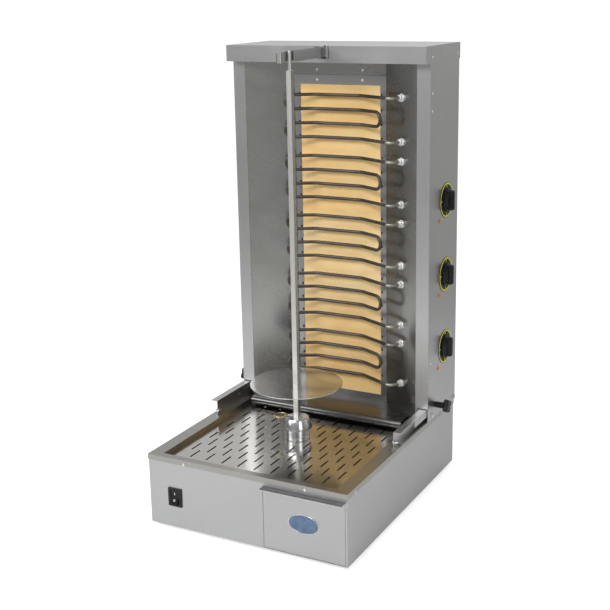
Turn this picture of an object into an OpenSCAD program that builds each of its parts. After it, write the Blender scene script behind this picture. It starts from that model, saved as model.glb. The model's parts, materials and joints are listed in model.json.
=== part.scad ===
// Vertical rotisserie grill: a base with drive, drip tray and fat drawer, a heater tower
// that slides forward on two rails, and an upright spit held by a swinging arm.
// X is right, Y is back and Z is up. The origin is under the middle of the base.

/* [Base] */
// Width of the base over its skirt
base_w = 504; // [460:1:620]
// Depth of the base over its skirt
base_d = 624; // [560:1:760]
// Height of the base rim above the table
rim_h = 178; // [170:1:230]
// Height of the feet
foot_h = 10; // [8:1:16]
// Thickness of the steel sheet
sheet = 1.2; // [0.8:0.1:1.4]
// Height of the skirt around the rim
skirt_h = 13; // [10:1:20]
// Width of the rim at the left and right
rim_side = 32; // [30:1:45]
// Width of the rim at the front
rim_front = 18; // [12:1:40]
// Depth of the tray below the rim
tray_drop = 11; // [8:1:24]

/* [Drip tray] */
// Length of a slot in the tray
slot_len = 41; // [24:1:46]
// Width of a slot in the tray
slot_w = 4; // [3:0.1:5]
// Sideways distance between slot columns
slot_pitch_x = 42; // [36:1:60]
// Distance between slot rows from front to back
slot_pitch_y = 76; // [60:1:100]

/* [Drawer] */
// Width of the drawer front
drawer_w = 198; // [150:1:210]
// Distance from the drawer front to the right side of the base
drawer_inset = 6; // [5:1:20]
// Height of the drawer box
drawer_box_h = 88; // [50:1:92]
// Length of the drawer box
drawer_len = 290; // [200:1:330]
// Reach of the pull lip in front of the drawer
lip_reach = 18; // [12:1:25]

/* [Tower] */
// Total height over the cap
total_h = 1070; // [950:1:1300]
// Distance from the middle of the base to the front of the tower
tower_front = 124; // [110:1:140]
// Depth of the tower
tower_d = 183; // [170:1:230]
// Distance that each tower side stands outside the base
side_gap = 4; // [3:1:10]
// Width of a column seen from the front
column_w = 32; // [30:1:45]
// Height of the cap
cap_h = 38.5; // [30:0.5:45]
// Distance that the cap reaches in front of the columns
cap_reach = 28.5; // [15:0.5:45]
// Half width of the frame around the refractory panel
frame_half = 121; // [110:1:135]
// Depth of the heater bay from the column fronts to the frame
bay_depth = 62; // [55:1:70]
// Width of the frame strips
frame_strip = 15; // [10:1:25]

/* [Heating elements] */
// Diameter of the heating tube
tube_d = 8; // [6:0.5:9]
// Distance between two runs of one element
run_pitch = 34; // [28:1:38]
// Distance between two elements
element_pitch = 147.6; // [130:0.1:170]
// Half length of the straight part along the back
run_half = 62; // [50:1:70]
// Half width over the middle of the loops
loop_half = 125; // [110:1:130]

/* [Rails] */
// Height of a rail above the rim
rail_h = 35; // [30:1:45]
// Width of a rail
rail_w = 18; // [16:1:20]
// Distance from the middle of the base to the front end of the rails
rail_front = 37; // [20:1:80]
// Diameter of a roller
roller_d = 22; // [18:0.5:23]

/* [Spit] */
// Distance from the middle of the base to the spit axis
spit_front = 60; // [40:1:80]
// Side of the square spit bar
bar_side = 12; // [10:0.5:14]
// Diameter of the pin on top of the bar
top_pin_d = 8; // [6:0.5:9]
// Diameter of the meat disc
disc_d = 217; // [160:1:250]
// Height of the disc above the table
disc_z = 302; // [275:1:400]
// Diameter of the drive hub
hub_d = 70; // [50:1:80]
// Height of the drive hub
hub_h = 52.5; // [45:0.5:60]
// Diameter of the motor shaft
shaft_d = 12; // [8:0.5:14]

/* [Controls] */
// Diameter of a dial plate
dial_d = 84; // [60:1:90]
// Diameter of a control knob
knob_d = 53; // [35:1:56]
// Reach of a control knob from the side panel
knob_reach = 20; // [16:1:30]
// Distance between two dials
dial_pitch = 181.6; // [120:0.2:220]
// Height of the lowest dial above the table
dial_z = 342.6; // [300:0.2:400]
// Diameter of a clamp knob
clamp_d = 39; // [30:1:50]
// Reach of a clamp knob from the side panel
clamp_reach = 34; // [28:1:40]

/* [Hidden] */
$fn = 48;
fit = 0.08;      // radial clearance of a turning fit
gap = 0.3;       // clearance between pieces that pass each other
loose = 0.2;     // radial clearance of a screw in its hole
eps = 0.01;

hx = base_w / 2;
hy = base_d / 2;
wall_x = hx - sheet;               // outer faces of the housing, inside the skirt
wall_y = hy - sheet;
deck_z = rim_h - sheet;
tray_z = rim_h - tray_drop;        // top face of the tray
recess_x = hx - rim_side;          // half width of the tray recess
recess_front = -hy + rim_front;
recess_back = tower_front + 6;
floor_z = foot_h + sheet;

spit_y = -spit_front;
hub_gap = 0.5;
hub_z = tray_z + hub_gap;
hub_top = hub_z + hub_h;
socket_depth = 14;
notch_depth = 6.5;
clip_pin_d = 4;
clip_z = hub_top - 4;
bar_foot = hub_top - socket_depth + 0.4;

tower_x = hx + side_gap;           // outer faces of the tower sides
tower_back = tower_front + tower_d;
tower_z = rim_h + 2;
ceiling_z = total_h - cap_h;
cap_front = tower_front - cap_reach;
cap_x = tower_x + loose + sheet;
cap_back = tower_back + loose + sheet;
column_x = tower_x - column_w;     // inner edge of a column
frame_y = tower_front + bay_depth; // front face of the frame
bay_dx = column_x - frame_half;
bay_dy = frame_y - tower_front - sheet;
bay_len = sqrt(bay_dx * bay_dx + bay_dy * bay_dy);
normal = [bay_dy / bay_len, bay_dx / bay_len]; // out of the bay, through the right wall
wall_turn = atan2(normal[1], normal[0]);

roll_d = 20;
roll_x = recess_x - 14;
roll_y = tower_front - 40;
roll_z = rim_h + 3;
pan_z = roll_z + roll_d / 2;       // top face of the pan behind the roll
panel_t = 14;
panel_y = frame_y + sheet;
frame_top = ceiling_z - 34;
header_h = 23;
opening_x = frame_half - frame_strip;
opening_z = pan_z + 17;
opening_top = frame_top - header_h;
blanket_t = 38;

rail_t = 1.5;
rail_x = tower_x - sheet - 0.8 - rail_w; // inner face of a rail's web
rail_out = rail_x + rail_w;
rail_top = rim_h + rail_h;
rail_back = tower_back - 9;
rail_lip_h = 18;
rail_lip_front = tower_front - 76;
roller_z = rim_h + rail_t + gap + roller_d / 2;
roller_w = 10;
roller_x = rail_x + rail_t + 2.5;
roller_bolt_d = 6;
roller_front = tower_front + 25;
roller_rear = tower_back - 12;
notch_x = rail_x - 8;
notch_z = rail_top + 1.5;

run_y = frame_y - 12;
elements = 5;
runs = 4;
first_run = frame_top - 46.5;      // height of the top run
nut_af = 14;
nut_h = 7;
washer_d = 19;
washer_t = 1.5;
nut_along = 0.49;                  // place of the nuts along the bay wall
nut_xy = [column_x - nut_along * bay_dx, tower_front + sheet + nut_along * bay_dy];

arm_wall = 1.5;
arm_gap = 12;
arm_x = arm_gap / 2 + arm_wall;
arm_h = 23;
arm_z = ceiling_z + 12.5;
arm_tip = spit_y - 52;
arm_entry = spit_y + 8;            // front end of the right wall
pivot_d = 6;
pivot_x = arm_x + 3;
pivot_y = cap_front + 6.5;
barrel_d = 9;
slot_left = -20;
slot_right = pivot_x + barrel_d / 2 + 2;
bar_top = arm_z - 19;

dial_y = tower_front + 108;
dial_t = 1.2;
lamp_drop = 43.5;
lamp_y = dial_y - 42;
lamp_d = 8;
knob_shaft_d = 6;
switch_depth = 40;
dials = [for (i = [0:2]) dial_z + i * dial_pitch];

clamp_y = tower_front + 55;
clamp_z = rail_top - 4;
stud_d = 8;

drawer_right = hx - drawer_inset;
drawer_left = drawer_right - drawer_w;
drawer_z = foot_h + 3;
drawer_gap = 0.6;                  // slit around the drawer front
drawer_top = deck_z - skirt_h - 6.8;
box_left = drawer_left + 5;
box_right = drawer_right - 5;
box_z = foot_h + 10;
box_front = -wall_y + sheet;
box_back = box_front + drawer_len;
runner_t = 1.5;

collector_z = 118;
collector_rim = 30;
bracket_z = 112;
bracket_t = 3;
bracket_half = 45;
gearbox_half = 35;
gearbox_h = 60;
motor_can_d = 50;
motor_can_h = 34;
bush_d = 18;

power_x = -hx + 70;
power_z = 84;
bezel_w = 35;
bezel_h = 44;
bezel_t = 3;
rocker_w = 20;
rocker_h = 29;
rocker_tilt = 12;
power_body_y = 22;

gland_reach = lip_reach;
gland_d = 22;
gland_bore = 10;
gland_x = -150;
gland_z = 60;

screw_d = 3;
screw_head = 6.4;
screw_head_h = 1.5;
skirt_screw_z = rim_h - 10;
tower_screw_y = tower_front + 14;
tower_screws_z = [ceiling_z - 67, ceiling_z - 108, pan_z + 135, pan_z + 89];
cap_screws_y = [tower_front + 10, tower_back - 17];
cap_screw_z = ceiling_z + 13.5;

// A block between two opposite corners
module block(low, high) {
    translate(low)
        cube(high - low);
}

// The children and their mirror image on the other side of the grill
module both_sides() {
    children();
    mirror([1, 0, 0])
        children();
}

// A cylinder along +X from a point
module rod_x(p, d, length) {
    translate(p)
        rotate([0, 90, 0])
            cylinder(d = d, h = length);
}

// A cylinder along +Y from a point
module rod_y(p, d, length) {
    translate(p)
        rotate([-90, 0, 0])
            cylinder(d = d, h = length);
}

// A hexagon nut along +X from a point
module nut_x(p, flats, thickness, bore) {
    translate(p)
        rotate([0, 90, 0])
            difference() {
                cylinder(d = flats / cos(30), h = thickness, $fn = 6);
                translate([0, 0, -eps])
                    cylinder(d = bore, h = thickness + 2 * eps);
            }
}

// ---- Base ----

// Places of the skirt screws: front ones point along +Y and side ones along +X
front_screws_x = [-hx + 97, hx - 100];
side_screws_y = [-hy + 38, -hy + 300];

module skirt_screw_holes() {
    for (x = front_screws_x)
        rod_y([x, -hy - eps, skirt_screw_z], screw_d + 2 * loose, 4 * sheet);
    both_sides()
        for (y = side_screws_y)
            rod_x([wall_x - 2 * sheet, y, skirt_screw_z], screw_d + 2 * loose, 4 * sheet);
}

module base_housing() {
    color("silver")
    difference() {
        union() {
            both_sides()
                block([wall_x - sheet, -wall_y, foot_h], [wall_x, wall_y, deck_z]);
            block([-wall_x, -wall_y, foot_h], [wall_x, -wall_y + sheet, deck_z]);
        }
        block([drawer_left - drawer_gap, -wall_y - 1, drawer_z - drawer_gap],
              [drawer_right + drawer_gap, -wall_y + sheet + 1, drawer_top + drawer_gap]);
        block([power_x - bezel_w / 2 + 4, -wall_y - 1, power_z - bezel_h / 2 + 3],
              [power_x + bezel_w / 2 - 4, -wall_y + sheet + 1, power_z + bezel_h / 2 - 3]);
        skirt_screw_holes();
    }
}

module base_rear_panel() {
    louvre_w = 60;
    louvre_h = 4;
    louvre_pitch = 12;
    color("silver")
    difference() {
        block([-wall_x + sheet, wall_y - sheet, foot_h], [wall_x - sheet, wall_y, deck_z]);
        rod_y([gland_x, wall_y - 2 * sheet, gland_z], gland_d - 6 + 2 * loose, 4 * sheet);
        for (i = [0:4])
            block([60, wall_y - 2 * sheet, 60 + i * louvre_pitch],
                  [60 + louvre_w, wall_y + 1, 60 + i * louvre_pitch + louvre_h]);
    }
}

module base_floor() {
    in_x = wall_x - sheet;
    in_y = wall_y - sheet;
    flange = 14;
    color("darkgray")
    difference() {
        union() {
            block([-in_x, -in_y, foot_h], [in_x, in_y, floor_z]);
            both_sides()
                block([in_x - sheet, -in_y, foot_h], [in_x, in_y, foot_h + flange]);
            block([-in_x, in_y - sheet, foot_h], [in_x, in_y, foot_h + flange]);
        }
        foot_places()
            translate([0, 0, foot_h - 1])
                cylinder(d = foot_screw_d + 2 * loose, h = 3 * sheet);
    }
}

foot_d = 36;
foot_screw_d = 5;
foot_inset = 60;

module foot_places() {
    for (x = [-1, 1], y = [-1, 1])
        translate([x * (hx - foot_inset), y * (hy - foot_inset), 0])
            children();
}

module feet() {
    color("dimgray")
    foot_places() {
        cylinder(d1 = foot_d - 4, d2 = foot_d, h = foot_h);
        translate([0, 0, foot_h - eps])
            cylinder(d = foot_screw_d, h = sheet + 4);
    }
}

module top_frame() {
    ledge = 8;
    color("lightgray")
    difference() {
        union() {
            block([-hx, -hy, rim_h - skirt_h], [hx, hy, rim_h]);
            block([-recess_x - sheet, recess_front - sheet, tray_z - 2 * sheet],
                  [recess_x + sheet, recess_back + sheet, rim_h]);
        }
        difference() {
            block([-wall_x, -wall_y, rim_h - skirt_h - 1], [wall_x, wall_y, deck_z]);
            block([-recess_x - sheet, recess_front - sheet, 0],
                  [recess_x + sheet, recess_back + sheet, rim_h]);
        }
        block([-recess_x, recess_front, tray_z - sheet], [recess_x, recess_back, rim_h + 1]);
        block([-recess_x + ledge, recess_front + ledge, 0],
              [recess_x - ledge, recess_back - ledge, rim_h]);
        skirt_screw_holes();
    }
}

module drip_tray() {
    margin_x = 28;
    margin_y = 30;
    back_row = tower_front - 64;
    columns = floor((recess_x - margin_x) / slot_pitch_x);
    rows = floor((back_row - recess_front - margin_y) / slot_pitch_y);
    clear_r = hub_d / 2 + slot_len / 2 - 4;
    color("gainsboro")
    difference() {
        block([-recess_x + gap, recess_front + gap, tray_z - sheet],
              [recess_x - gap, recess_back - gap, tray_z]);
        translate([0, spit_y, tray_z - 2 * sheet])
            cylinder(d = bush_d + 4, h = 4 * sheet);
        for (c = [-columns - 1:columns], r = [0:rows], half = [0, 1]) {
            x = c * slot_pitch_x + half * slot_pitch_x / 2;
            y = back_row - r * slot_pitch_y - half * slot_pitch_y / 2;
            if (norm([x, y - spit_y]) > clear_r && abs(x) < recess_x - margin_x
                && y - slot_len / 2 > recess_front + margin_y / 2)
                block([x - slot_w / 2, y - slot_len / 2, tray_z - 2 * sheet],
                      [x + slot_w / 2, y + slot_len / 2, tray_z + 1]);
        }
    }
}

module fat_collector() {
    out_x = recess_x + 4;
    front = recess_front - 4;
    back = recess_back + 4;
    mouth_front = box_front + 14;
    mouth_back = box_back - 14;
    pipe_d = bush_d + 8;
    color("gray")
    difference() {
        union() {
            difference() {
                block([-out_x, front, collector_z], [out_x, back, collector_z + collector_rim]);
                block([-out_x + sheet, front + sheet, collector_z + sheet],
                      [out_x - sheet, back - sheet, collector_z + collector_rim + 1]);
            }
            block([box_left + 8, mouth_front - sheet, collector_z - 6],
                  [box_right - 26, mouth_back + sheet, collector_z + sheet]);
            translate([0, spit_y, collector_z])
                cylinder(d = pipe_d, h = collector_rim - 4);
        }
        block([box_left + 8 + sheet, mouth_front, collector_z - 7],
              [box_right - 26 - sheet, mouth_back, collector_z + 2]);
        translate([0, spit_y, collector_z - 1])
            cylinder(d = pipe_d - 2 * sheet, h = collector_rim);
    }
}

// ---- Fat drawer ----

module drawer_runners() {
    ledge = 9;
    color("gray")
    for (side = [[box_left, -1], [box_right, 1]]) {
        x0 = side[0] + side[1] * gap;
        low = min(x0, x0 + side[1] * runner_t);
        high = max(x0, x0 + side[1] * runner_t);
        block([low, box_front + 12, floor_z], [high, box_back, box_z + 24]);
        block([min(x0 - side[1] * ledge, high), box_front + 12, box_z - gap - runner_t],
              [max(x0 - side[1] * ledge, high), box_back, box_z - gap]);
    }
}

module drawer_box() {
    color("silver")
    difference() {
        block([box_left, box_front, box_z], [box_right, box_back, box_z + drawer_box_h]);
        block([box_left + sheet, box_front + sheet, box_z + sheet],
              [box_right - sheet, box_back - sheet, box_z + drawer_box_h + 1]);
    }
}

module drawer_front() {
    color("silver")
    union() {
        block([drawer_left, -wall_y, drawer_z], [drawer_right, -wall_y + sheet, drawer_top]);
        block([drawer_left, -wall_y - lip_reach, drawer_top - sheet],
              [drawer_right, -wall_y + sheet, drawer_top]);
        block([drawer_left, -wall_y - lip_reach, drawer_top - 4],
              [drawer_right, -wall_y - lip_reach + sheet, drawer_top]);
    }
}

badge_w = 76;
badge_h = 44;
badge_z = 88;

module badge() {
    color("steelblue")
    translate([(drawer_left + drawer_right) / 2, -wall_y, badge_z])
        rotate([90, 0, 0])
            linear_extrude(1)
                scale([badge_w / badge_h, 1])
                    circle(d = badge_h);
}

// ---- Rails ----

rail_screw_y = tower_front - 54;
rail_screw_z = rail_top - 18;
stop_y = -rail_front + 5;
stop_z = rim_h + 8;

module rail_profile() {
    color("silver")
    difference() {
        union() {
            block([rail_x, -rail_front, rim_h], [rail_x + rail_t, rail_back, rail_top]);
            block([rail_x, -rail_front, rail_top - rail_t], [rail_out, rail_back, rail_top]);
            block([rail_x, -rail_front + 16, rim_h],
                  [rail_x + 14, rail_back, rim_h + rail_t]);
            block([rail_out - rail_t, rail_lip_front, rail_top - rail_lip_h],
                  [rail_out, rail_back, rail_top]);
        }
        rod_x([rail_x - 1, stop_y, stop_z], 5 + 2 * loose, rail_t + 2);
        rod_x([rail_x - 1, rail_screw_y, rail_screw_z], 4 + 2 * loose, rail_t + 2);
    }
}

module right_rail() {
    rail_profile();
}

module left_rail() {
    mirror([1, 0, 0])
        rail_profile();
}

module rail_fasteners() {
    color("whitesmoke")
    both_sides() {
        rod_x([rail_x - 2, stop_y, stop_z], 9, 2);
        rod_x([rail_x - 1, stop_y, stop_z], 5, rail_t + 9);
        nut_x([rail_x + rail_t, stop_y, stop_z], 8, 4.5, 5);
        rod_x([rail_x - 1.5, rail_screw_y, rail_screw_z], 7, 1.5);
        rod_x([rail_x - 1, rail_screw_y, rail_screw_z], 4, rail_t + 1);
    }
}

module skirt_screws() {
    color("whitesmoke") {
        for (x = front_screws_x) {
            rod_y([x, -hy - screw_head_h, skirt_screw_z], screw_head, screw_head_h);
            rod_y([x, -hy - eps, skirt_screw_z], screw_d, 3 * sheet);
        }
        both_sides()
            for (y = side_screws_y) {
                rod_x([hx, y, skirt_screw_z], screw_head, screw_head_h);
                rod_x([hx - 3 * sheet, y, skirt_screw_z], screw_d, 3 * sheet + eps);
            }
    }
}

// ---- Power switch and cable entry ----

module switch_bezel() {
    depth = power_body_y;
    color("black")
    translate([power_x, -wall_y, power_z])
        difference() {
            union() {
                block([-bezel_w / 2, -bezel_t, -bezel_h / 2], [bezel_w / 2, 0, bezel_h / 2]);
                block([-bezel_w / 2 + 4 + loose, -eps, -bezel_h / 2 + 3 + loose],
                      [bezel_w / 2 - 4 - loose, depth, bezel_h / 2 - 3 - loose]);
            }
            block([-rocker_w / 2 - 0.5, -bezel_t - 1, -rocker_h / 2 - 2.2],
                  [rocker_w / 2 + 0.5, depth - 2, rocker_h / 2 + 2.2]);
            rod_x([-rocker_w / 2 - 2, 3, 0], 2 + 2 * fit, rocker_w + 4);
        }
}

module switch_rocker() {
    half = rocker_h / 2;
    rise = half * tan(rocker_tilt);
    color("dimgray")
    translate([power_x, -wall_y + 3, power_z])
        rotate([-rocker_tilt, 0, 0]) {
            translate([-rocker_w / 2, 0, 0])
                rotate([90, 0, 90])
                    linear_extrude(rocker_w)
                        polygon([[-5 - rise, half], [-5, 0], [-5 - rise, -half],
                                 [0, -half], [6, -half / 2], [6, half / 2], [0, half]]);
            rod_x([-rocker_w / 2 - 1.8, 0, 0], 2, rocker_w + 3.6);
        }
}

module cable_gland() {
    color("black")
    difference() {
        union() {
            rod_y([gland_x, wall_y, gland_z], gland_d, 6);
            rod_y([gland_x, wall_y, gland_z], gland_d - 4, gland_reach);
            rod_y([gland_x, wall_y - 10, gland_z], gland_d - 6, 10 + eps);
            rod_y([gland_x, wall_y - sheet - 4, gland_z], gland_d, 4);
        }
        rod_y([gland_x, wall_y - 11, gland_z], gland_bore, gland_reach + 12);
    }
}

module terminal_block() {
    color("ivory")
    difference() {
        block([-200, hy - 130, floor_z], [-120, hy - 105, floor_z + 24]);
        for (i = [0:4])
            translate([-190 + i * 15, hy - 117.5, floor_z + 8])
                cylinder(d = 6, h = 20);
    }
}

// ---- Drive ----

module motor_bracket() {
    color("gray")
    difference() {
        union() {
            block([-bracket_half, spit_y - bracket_half, bracket_z],
                  [bracket_half, spit_y + bracket_half, bracket_z + bracket_t]);
            both_sides() {
                block([bracket_half - 2, spit_y - bracket_half, floor_z],
                      [bracket_half, spit_y + bracket_half, bracket_z + eps]);
                block([bracket_half - 16, spit_y - bracket_half, floor_z],
                      [bracket_half, spit_y + bracket_half, floor_z + 2]);
            }
        }
        translate([0, spit_y, bracket_z - 1])
            cylinder(d = bush_d, h = bracket_t + 2);
    }
}

module gear_motor() {
    color("dimgray")
    difference() {
        union() {
            block([-gearbox_half, spit_y - gearbox_half, bracket_z - gearbox_h],
                  [gearbox_half, spit_y + gearbox_half, bracket_z]);
            translate([0, spit_y, bracket_z - gearbox_h - motor_can_h])
                cylinder(d = motor_can_d, h = motor_can_h + eps);
        }
        translate([0, spit_y, bracket_z - 16])
            cylinder(d = shaft_d + 2 * fit, h = 17);
    }
}

module shaft_bush() {
    color("goldenrod")
    translate([0, spit_y, bracket_z])
        difference() {
            union() {
                cylinder(d = bush_d, h = bracket_t);
                translate([0, 0, bracket_t])
                    cylinder(d = bush_d + 3, h = 4);
            }
            translate([0, 0, -1])
                cylinder(d = shaft_d + 2 * fit, h = bracket_t + 6);
        }
}

shaft_foot = bracket_z - 14;
shaft_top = hub_top - socket_depth - 6;

module motor_shaft() {
    color("silver")
    translate([0, spit_y, shaft_foot])
        cylinder(d = shaft_d, h = shaft_top - shaft_foot);
}

module drive_hub() {
    band_r = hub_d / 2;
    neck_r = band_r - 5.5;
    top_r = band_r - 7.5;
    neck_h = hub_h * 0.5;
    band_h = 3;
    color("gainsboro")
    translate([0, spit_y, hub_z])
        difference() {
            rotate_extrude()
                polygon([[0, 0], [neck_r, 0], [neck_r, neck_h], [band_r, neck_h + 0.8],
                         [band_r, neck_h + band_h], [top_r, hub_h - 1], [top_r - 1, hub_h],
                         [0, hub_h]]);
            translate([0, 0, -1])
                cylinder(d = shaft_d + 2 * fit, h = shaft_top - hub_z + 1.2);
            translate([-bar_side / 2 - loose, -bar_side / 2 - loose, hub_h - socket_depth])
                cube([bar_side + 2 * loose, bar_side + 2 * loose, socket_depth + 1]);
            translate([-hub_d, -clip_pin_d / 2 - 0.8, hub_h - notch_depth])
                cube([2 * hub_d, clip_pin_d + 1.6, notch_depth + 1]);
        }
}

// ---- Spit ----

module spit_bar() {
    top = ceiling_z + cap_h - 2;
    color("silver")
    translate([0, spit_y, 0])
        difference() {
            union() {
                block([-bar_side / 2, -bar_side / 2, bar_foot],
                      [bar_side / 2, bar_side / 2, bar_top]);
                translate([0, 0, bar_top - eps])
                    cylinder(d = top_pin_d, h = top - bar_top - 2);
                translate([0, 0, top - 2 - 2 * eps])
                    cylinder(d1 = top_pin_d, d2 = top_pin_d - 2, h = 2);
            }
            rod_x([-bar_side, 0, clip_z], clip_pin_d + 2 * loose, 2 * bar_side);
        }
}

module spit_disc() {
    disc_t = 2;
    collar_d = 26;
    collar_h = 12;
    hole = bar_side + 2 * loose;
    color("whitesmoke")
    translate([0, spit_y, disc_z])
        difference() {
            union() {
                cylinder(d = disc_d, h = disc_t, $fn = 96);
                translate([0, 0, -collar_h])
                    cylinder(d = collar_d, h = collar_h + eps);
            }
            translate([-hole / 2, -hole / 2, -collar_h - 1])
                cube([hole, hole, collar_h + disc_t + 2]);
        }
}

clip_ring_r = 15;
clip_wire = 3;
clip_left = hub_d / 2 - 3;

module spit_clip() {
    color("khaki")
    translate([0, spit_y, clip_z]) {
        rod_x([-clip_left, 0, 0], clip_pin_d, clip_left + hub_d / 2 - 2);
        translate([-clip_left - clip_ring_r + 1, 0, 0])
            rotate_extrude()
                translate([clip_ring_r, 0])
                    circle(d = clip_wire);
    }
}

// ---- Tower shell ----

module column() {
    return_w = 12;
    color("lightgray")
    difference() {
        union() {
            block([tower_x - sheet, tower_front, tower_z], [tower_x, tower_back, ceiling_z]);
            block([column_x, tower_front, tower_z], [tower_x, tower_front + sheet, ceiling_z]);
            block([tower_x - return_w, tower_back - 2 * sheet, notch_z + 2],
                  [tower_x, tower_back - sheet, ceiling_z]);
        }
        block([notch_x, tower_front - 1, tower_z - 1],
              [tower_x - sheet, tower_front + sheet + 1, notch_z]);
        for (y = [roller_front, roller_rear])
            rod_x([tower_x - 2 * sheet, y, roller_z], roller_bolt_d + 2 * loose, 3 * sheet);
        for (z = tower_screws_z)
            rod_x([tower_x - 2 * sheet, tower_screw_y, z], screw_d + 2 * loose, 3 * sheet);
        rod_x([tower_x - 2 * sheet, clamp_y, clamp_z], stud_d + 2 * fit, 3 * sheet);
    }
}

module left_column() {
    mirror([1, 0, 0])
        column();
}

module right_column() {
    difference() {
        column();
        for (z = dials) {
            rod_x([tower_x - 2 * sheet, dial_y, z], knob_shaft_d + 4, 3 * sheet);
            rod_x([tower_x - 2 * sheet, lamp_y, z - lamp_drop], lamp_d - 2 + 2 * loose,
                  3 * sheet);
        }
    }
}

module tower_rear_panel() {
    in_x = tower_x - sheet;
    louvre_w = 120;
    louvre_h = 5;
    color("lightgray")
    difference() {
        block([-in_x, tower_back - sheet, tower_z], [in_x, tower_back, ceiling_z]);
        both_sides()
            block([notch_x, tower_back - 3 * sheet, tower_z - 1],
                  [tower_x + 1, tower_back + 1, notch_z]);
        for (side = [-1, 1], i = [0:7])
            translate([side * 110 - louvre_w / 2, tower_back - 2 * sheet,
                       ceiling_z - 160 + i * 14])
                cube([louvre_w, 3 * sheet, louvre_h]);
    }
}

module top_cap() {
    color("gainsboro")
    difference() {
        block([-cap_x, cap_front, ceiling_z], [cap_x, cap_back, total_h]);
        block([-cap_x + sheet, cap_front + sheet, ceiling_z - 1],
              [cap_x - sheet, cap_back - sheet, total_h - sheet]);
        block([slot_left, cap_front - 1, arm_z - 3],
              [slot_right, cap_front + sheet + 1, total_h - sheet - 1]);
        translate([pivot_x, pivot_y, total_h - 2 * sheet])
            cylinder(d = barrel_d + 3, h = 3 * sheet);
        block([pivot_x - barrel_d / 2 - 1.5, cap_front - 1, total_h - 2 * sheet],
              [pivot_x + barrel_d / 2 + 1.5, pivot_y, total_h + sheet]);
        both_sides()
            for (y = cap_screws_y)
                rod_x([cap_x - 2 * sheet, y, cap_screw_z], screw_d + 2 * loose, 3 * sheet);
    }
}

module tower_ceiling() {
    color("silver")
    difference() {
        union() {
            block([-tower_x, cap_front + sheet, ceiling_z],
                  [tower_x, tower_back, ceiling_z + sheet]);
            block([-frame_half, frame_y, frame_top + 0.5], [frame_half, panel_y, ceiling_z + eps]);
        }
        translate([pivot_x, pivot_y, ceiling_z - 1])
            cylinder(d = pivot_d + 2 * loose, h = 2 * sheet);
        for (x = [-60, 60])
            rod_y([x, frame_y - 1, frame_top + 12], screw_d + 2 * loose, 3 * sheet);
    }
}

// One wall of the heater bay, bent round behind the front of its column
module reflector_sheet() {
    flange = 10;
    y0 = tower_front + sheet;
    n = normal * sheet;
    translate([0, 0, pan_z])
        linear_extrude(ceiling_z - pan_z)
            polygon([[column_x, y0], [frame_half, frame_y],
                     [frame_half + n[0], frame_y + n[1]], [column_x + n[0], y0 + sheet],
                     [column_x + flange, y0 + sheet], [column_x + flange, y0]]);
}

// Places on the inside of the right bay wall where the element ends pass through,
// with +Z out of the bay
module at_terminals() {
    for (e = [0:elements - 1], r = [0, runs - 1])
        translate([nut_xy[0], nut_xy[1], first_run - e * element_pitch - r * run_pitch])
            rotate([0, 0, wall_turn])
                rotate([0, 90, 0])
                    children();
}

module right_reflector() {
    color("silver")
    difference() {
        reflector_sheet();
        at_terminals()
            translate([0, 0, -3 * sheet])
                cylinder(d = tube_d + 2 * loose, h = 6 * sheet);
    }
}

module left_reflector() {
    color("silver")
    mirror([1, 0, 0])
        reflector_sheet();
}

module refractory_frame() {
    notch_w = 5.5;
    notch_h = 6.5;
    color("darkgray")
    difference() {
        block([-frame_half, frame_y, pan_z], [frame_half, panel_y, frame_top]);
        block([-opening_x, frame_y - 1, opening_z], [opening_x, panel_y + 1, opening_top]);
        for (e = [0:elements - 1], r = [0:runs - 1], side = [-1, 1])
            translate([side * opening_x, frame_y - 1,
                       first_run - e * element_pitch - r * run_pitch])
                block([-notch_w, 0, -notch_h / 2], [notch_w, 4, notch_h / 2]);
        for (x = [-60, 60])
            rod_y([x, frame_y - 1, frame_top - 12], screw_d + 2 * loose, 3 * sheet);
    }
}

module refractory_panel() {
    color("wheat")
    block([-frame_half + 3, panel_y, pan_z + 4],
          [frame_half - 3, panel_y + panel_t, frame_top - 14]);
}

module insulation_blanket() {
    color("white")
    block([-frame_half + 3, panel_y + panel_t + gap, pan_z + 4],
          [frame_half - 3, panel_y + panel_t + blanket_t, frame_top - 14]);
}

module drip_lip() {
    y0 = tower_front + sheet;
    n = normal * sheet;
    apron_y = roll_y + roll_d / 2 - sheet;
    color("lightgray")
    union() {
        block([-roll_x, apron_y, tray_z + 1], [roll_x, apron_y + sheet, roll_z]);
        difference() {
            rod_x([-roll_x, roll_y, roll_z], roll_d, 2 * roll_x);
            rod_x([-roll_x - 1, roll_y, roll_z], roll_d - 2 * sheet, 2 * roll_x + 2);
        }
        translate([0, 0, pan_z - sheet])
            linear_extrude(sheet)
                polygon([[-roll_x, roll_y], [roll_x, roll_y], [roll_x, y0], [column_x, y0],
                         [frame_half + n[0], frame_y + n[1]], [frame_half, panel_y],
                         [-frame_half, panel_y], [-frame_half - n[0], frame_y + n[1]],
                         [-column_x, y0], [-roll_x, y0]]);
    }
}

module tower_screws() {
    color("whitesmoke") {
        both_sides() {
            for (z = tower_screws_z) {
                rod_x([tower_x, tower_screw_y, z], screw_head, screw_head_h);
                rod_x([tower_x - 3 * sheet, tower_screw_y, z], screw_d, 3 * sheet + eps);
            }
            for (y = cap_screws_y) {
                rod_x([cap_x, y, cap_screw_z], screw_head, screw_head_h);
                rod_x([cap_x - 3 * sheet, y, cap_screw_z], screw_d, 3 * sheet + eps);
            }
        }
        for (x = [-60, 60], z = [frame_top - 12, frame_top + 12]) {
            rod_y([x, frame_y - screw_head_h, z], screw_head, screw_head_h);
            rod_y([x, frame_y - eps, z], screw_d, sheet);
        }
    }
}

// ---- Heating elements ----

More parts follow.
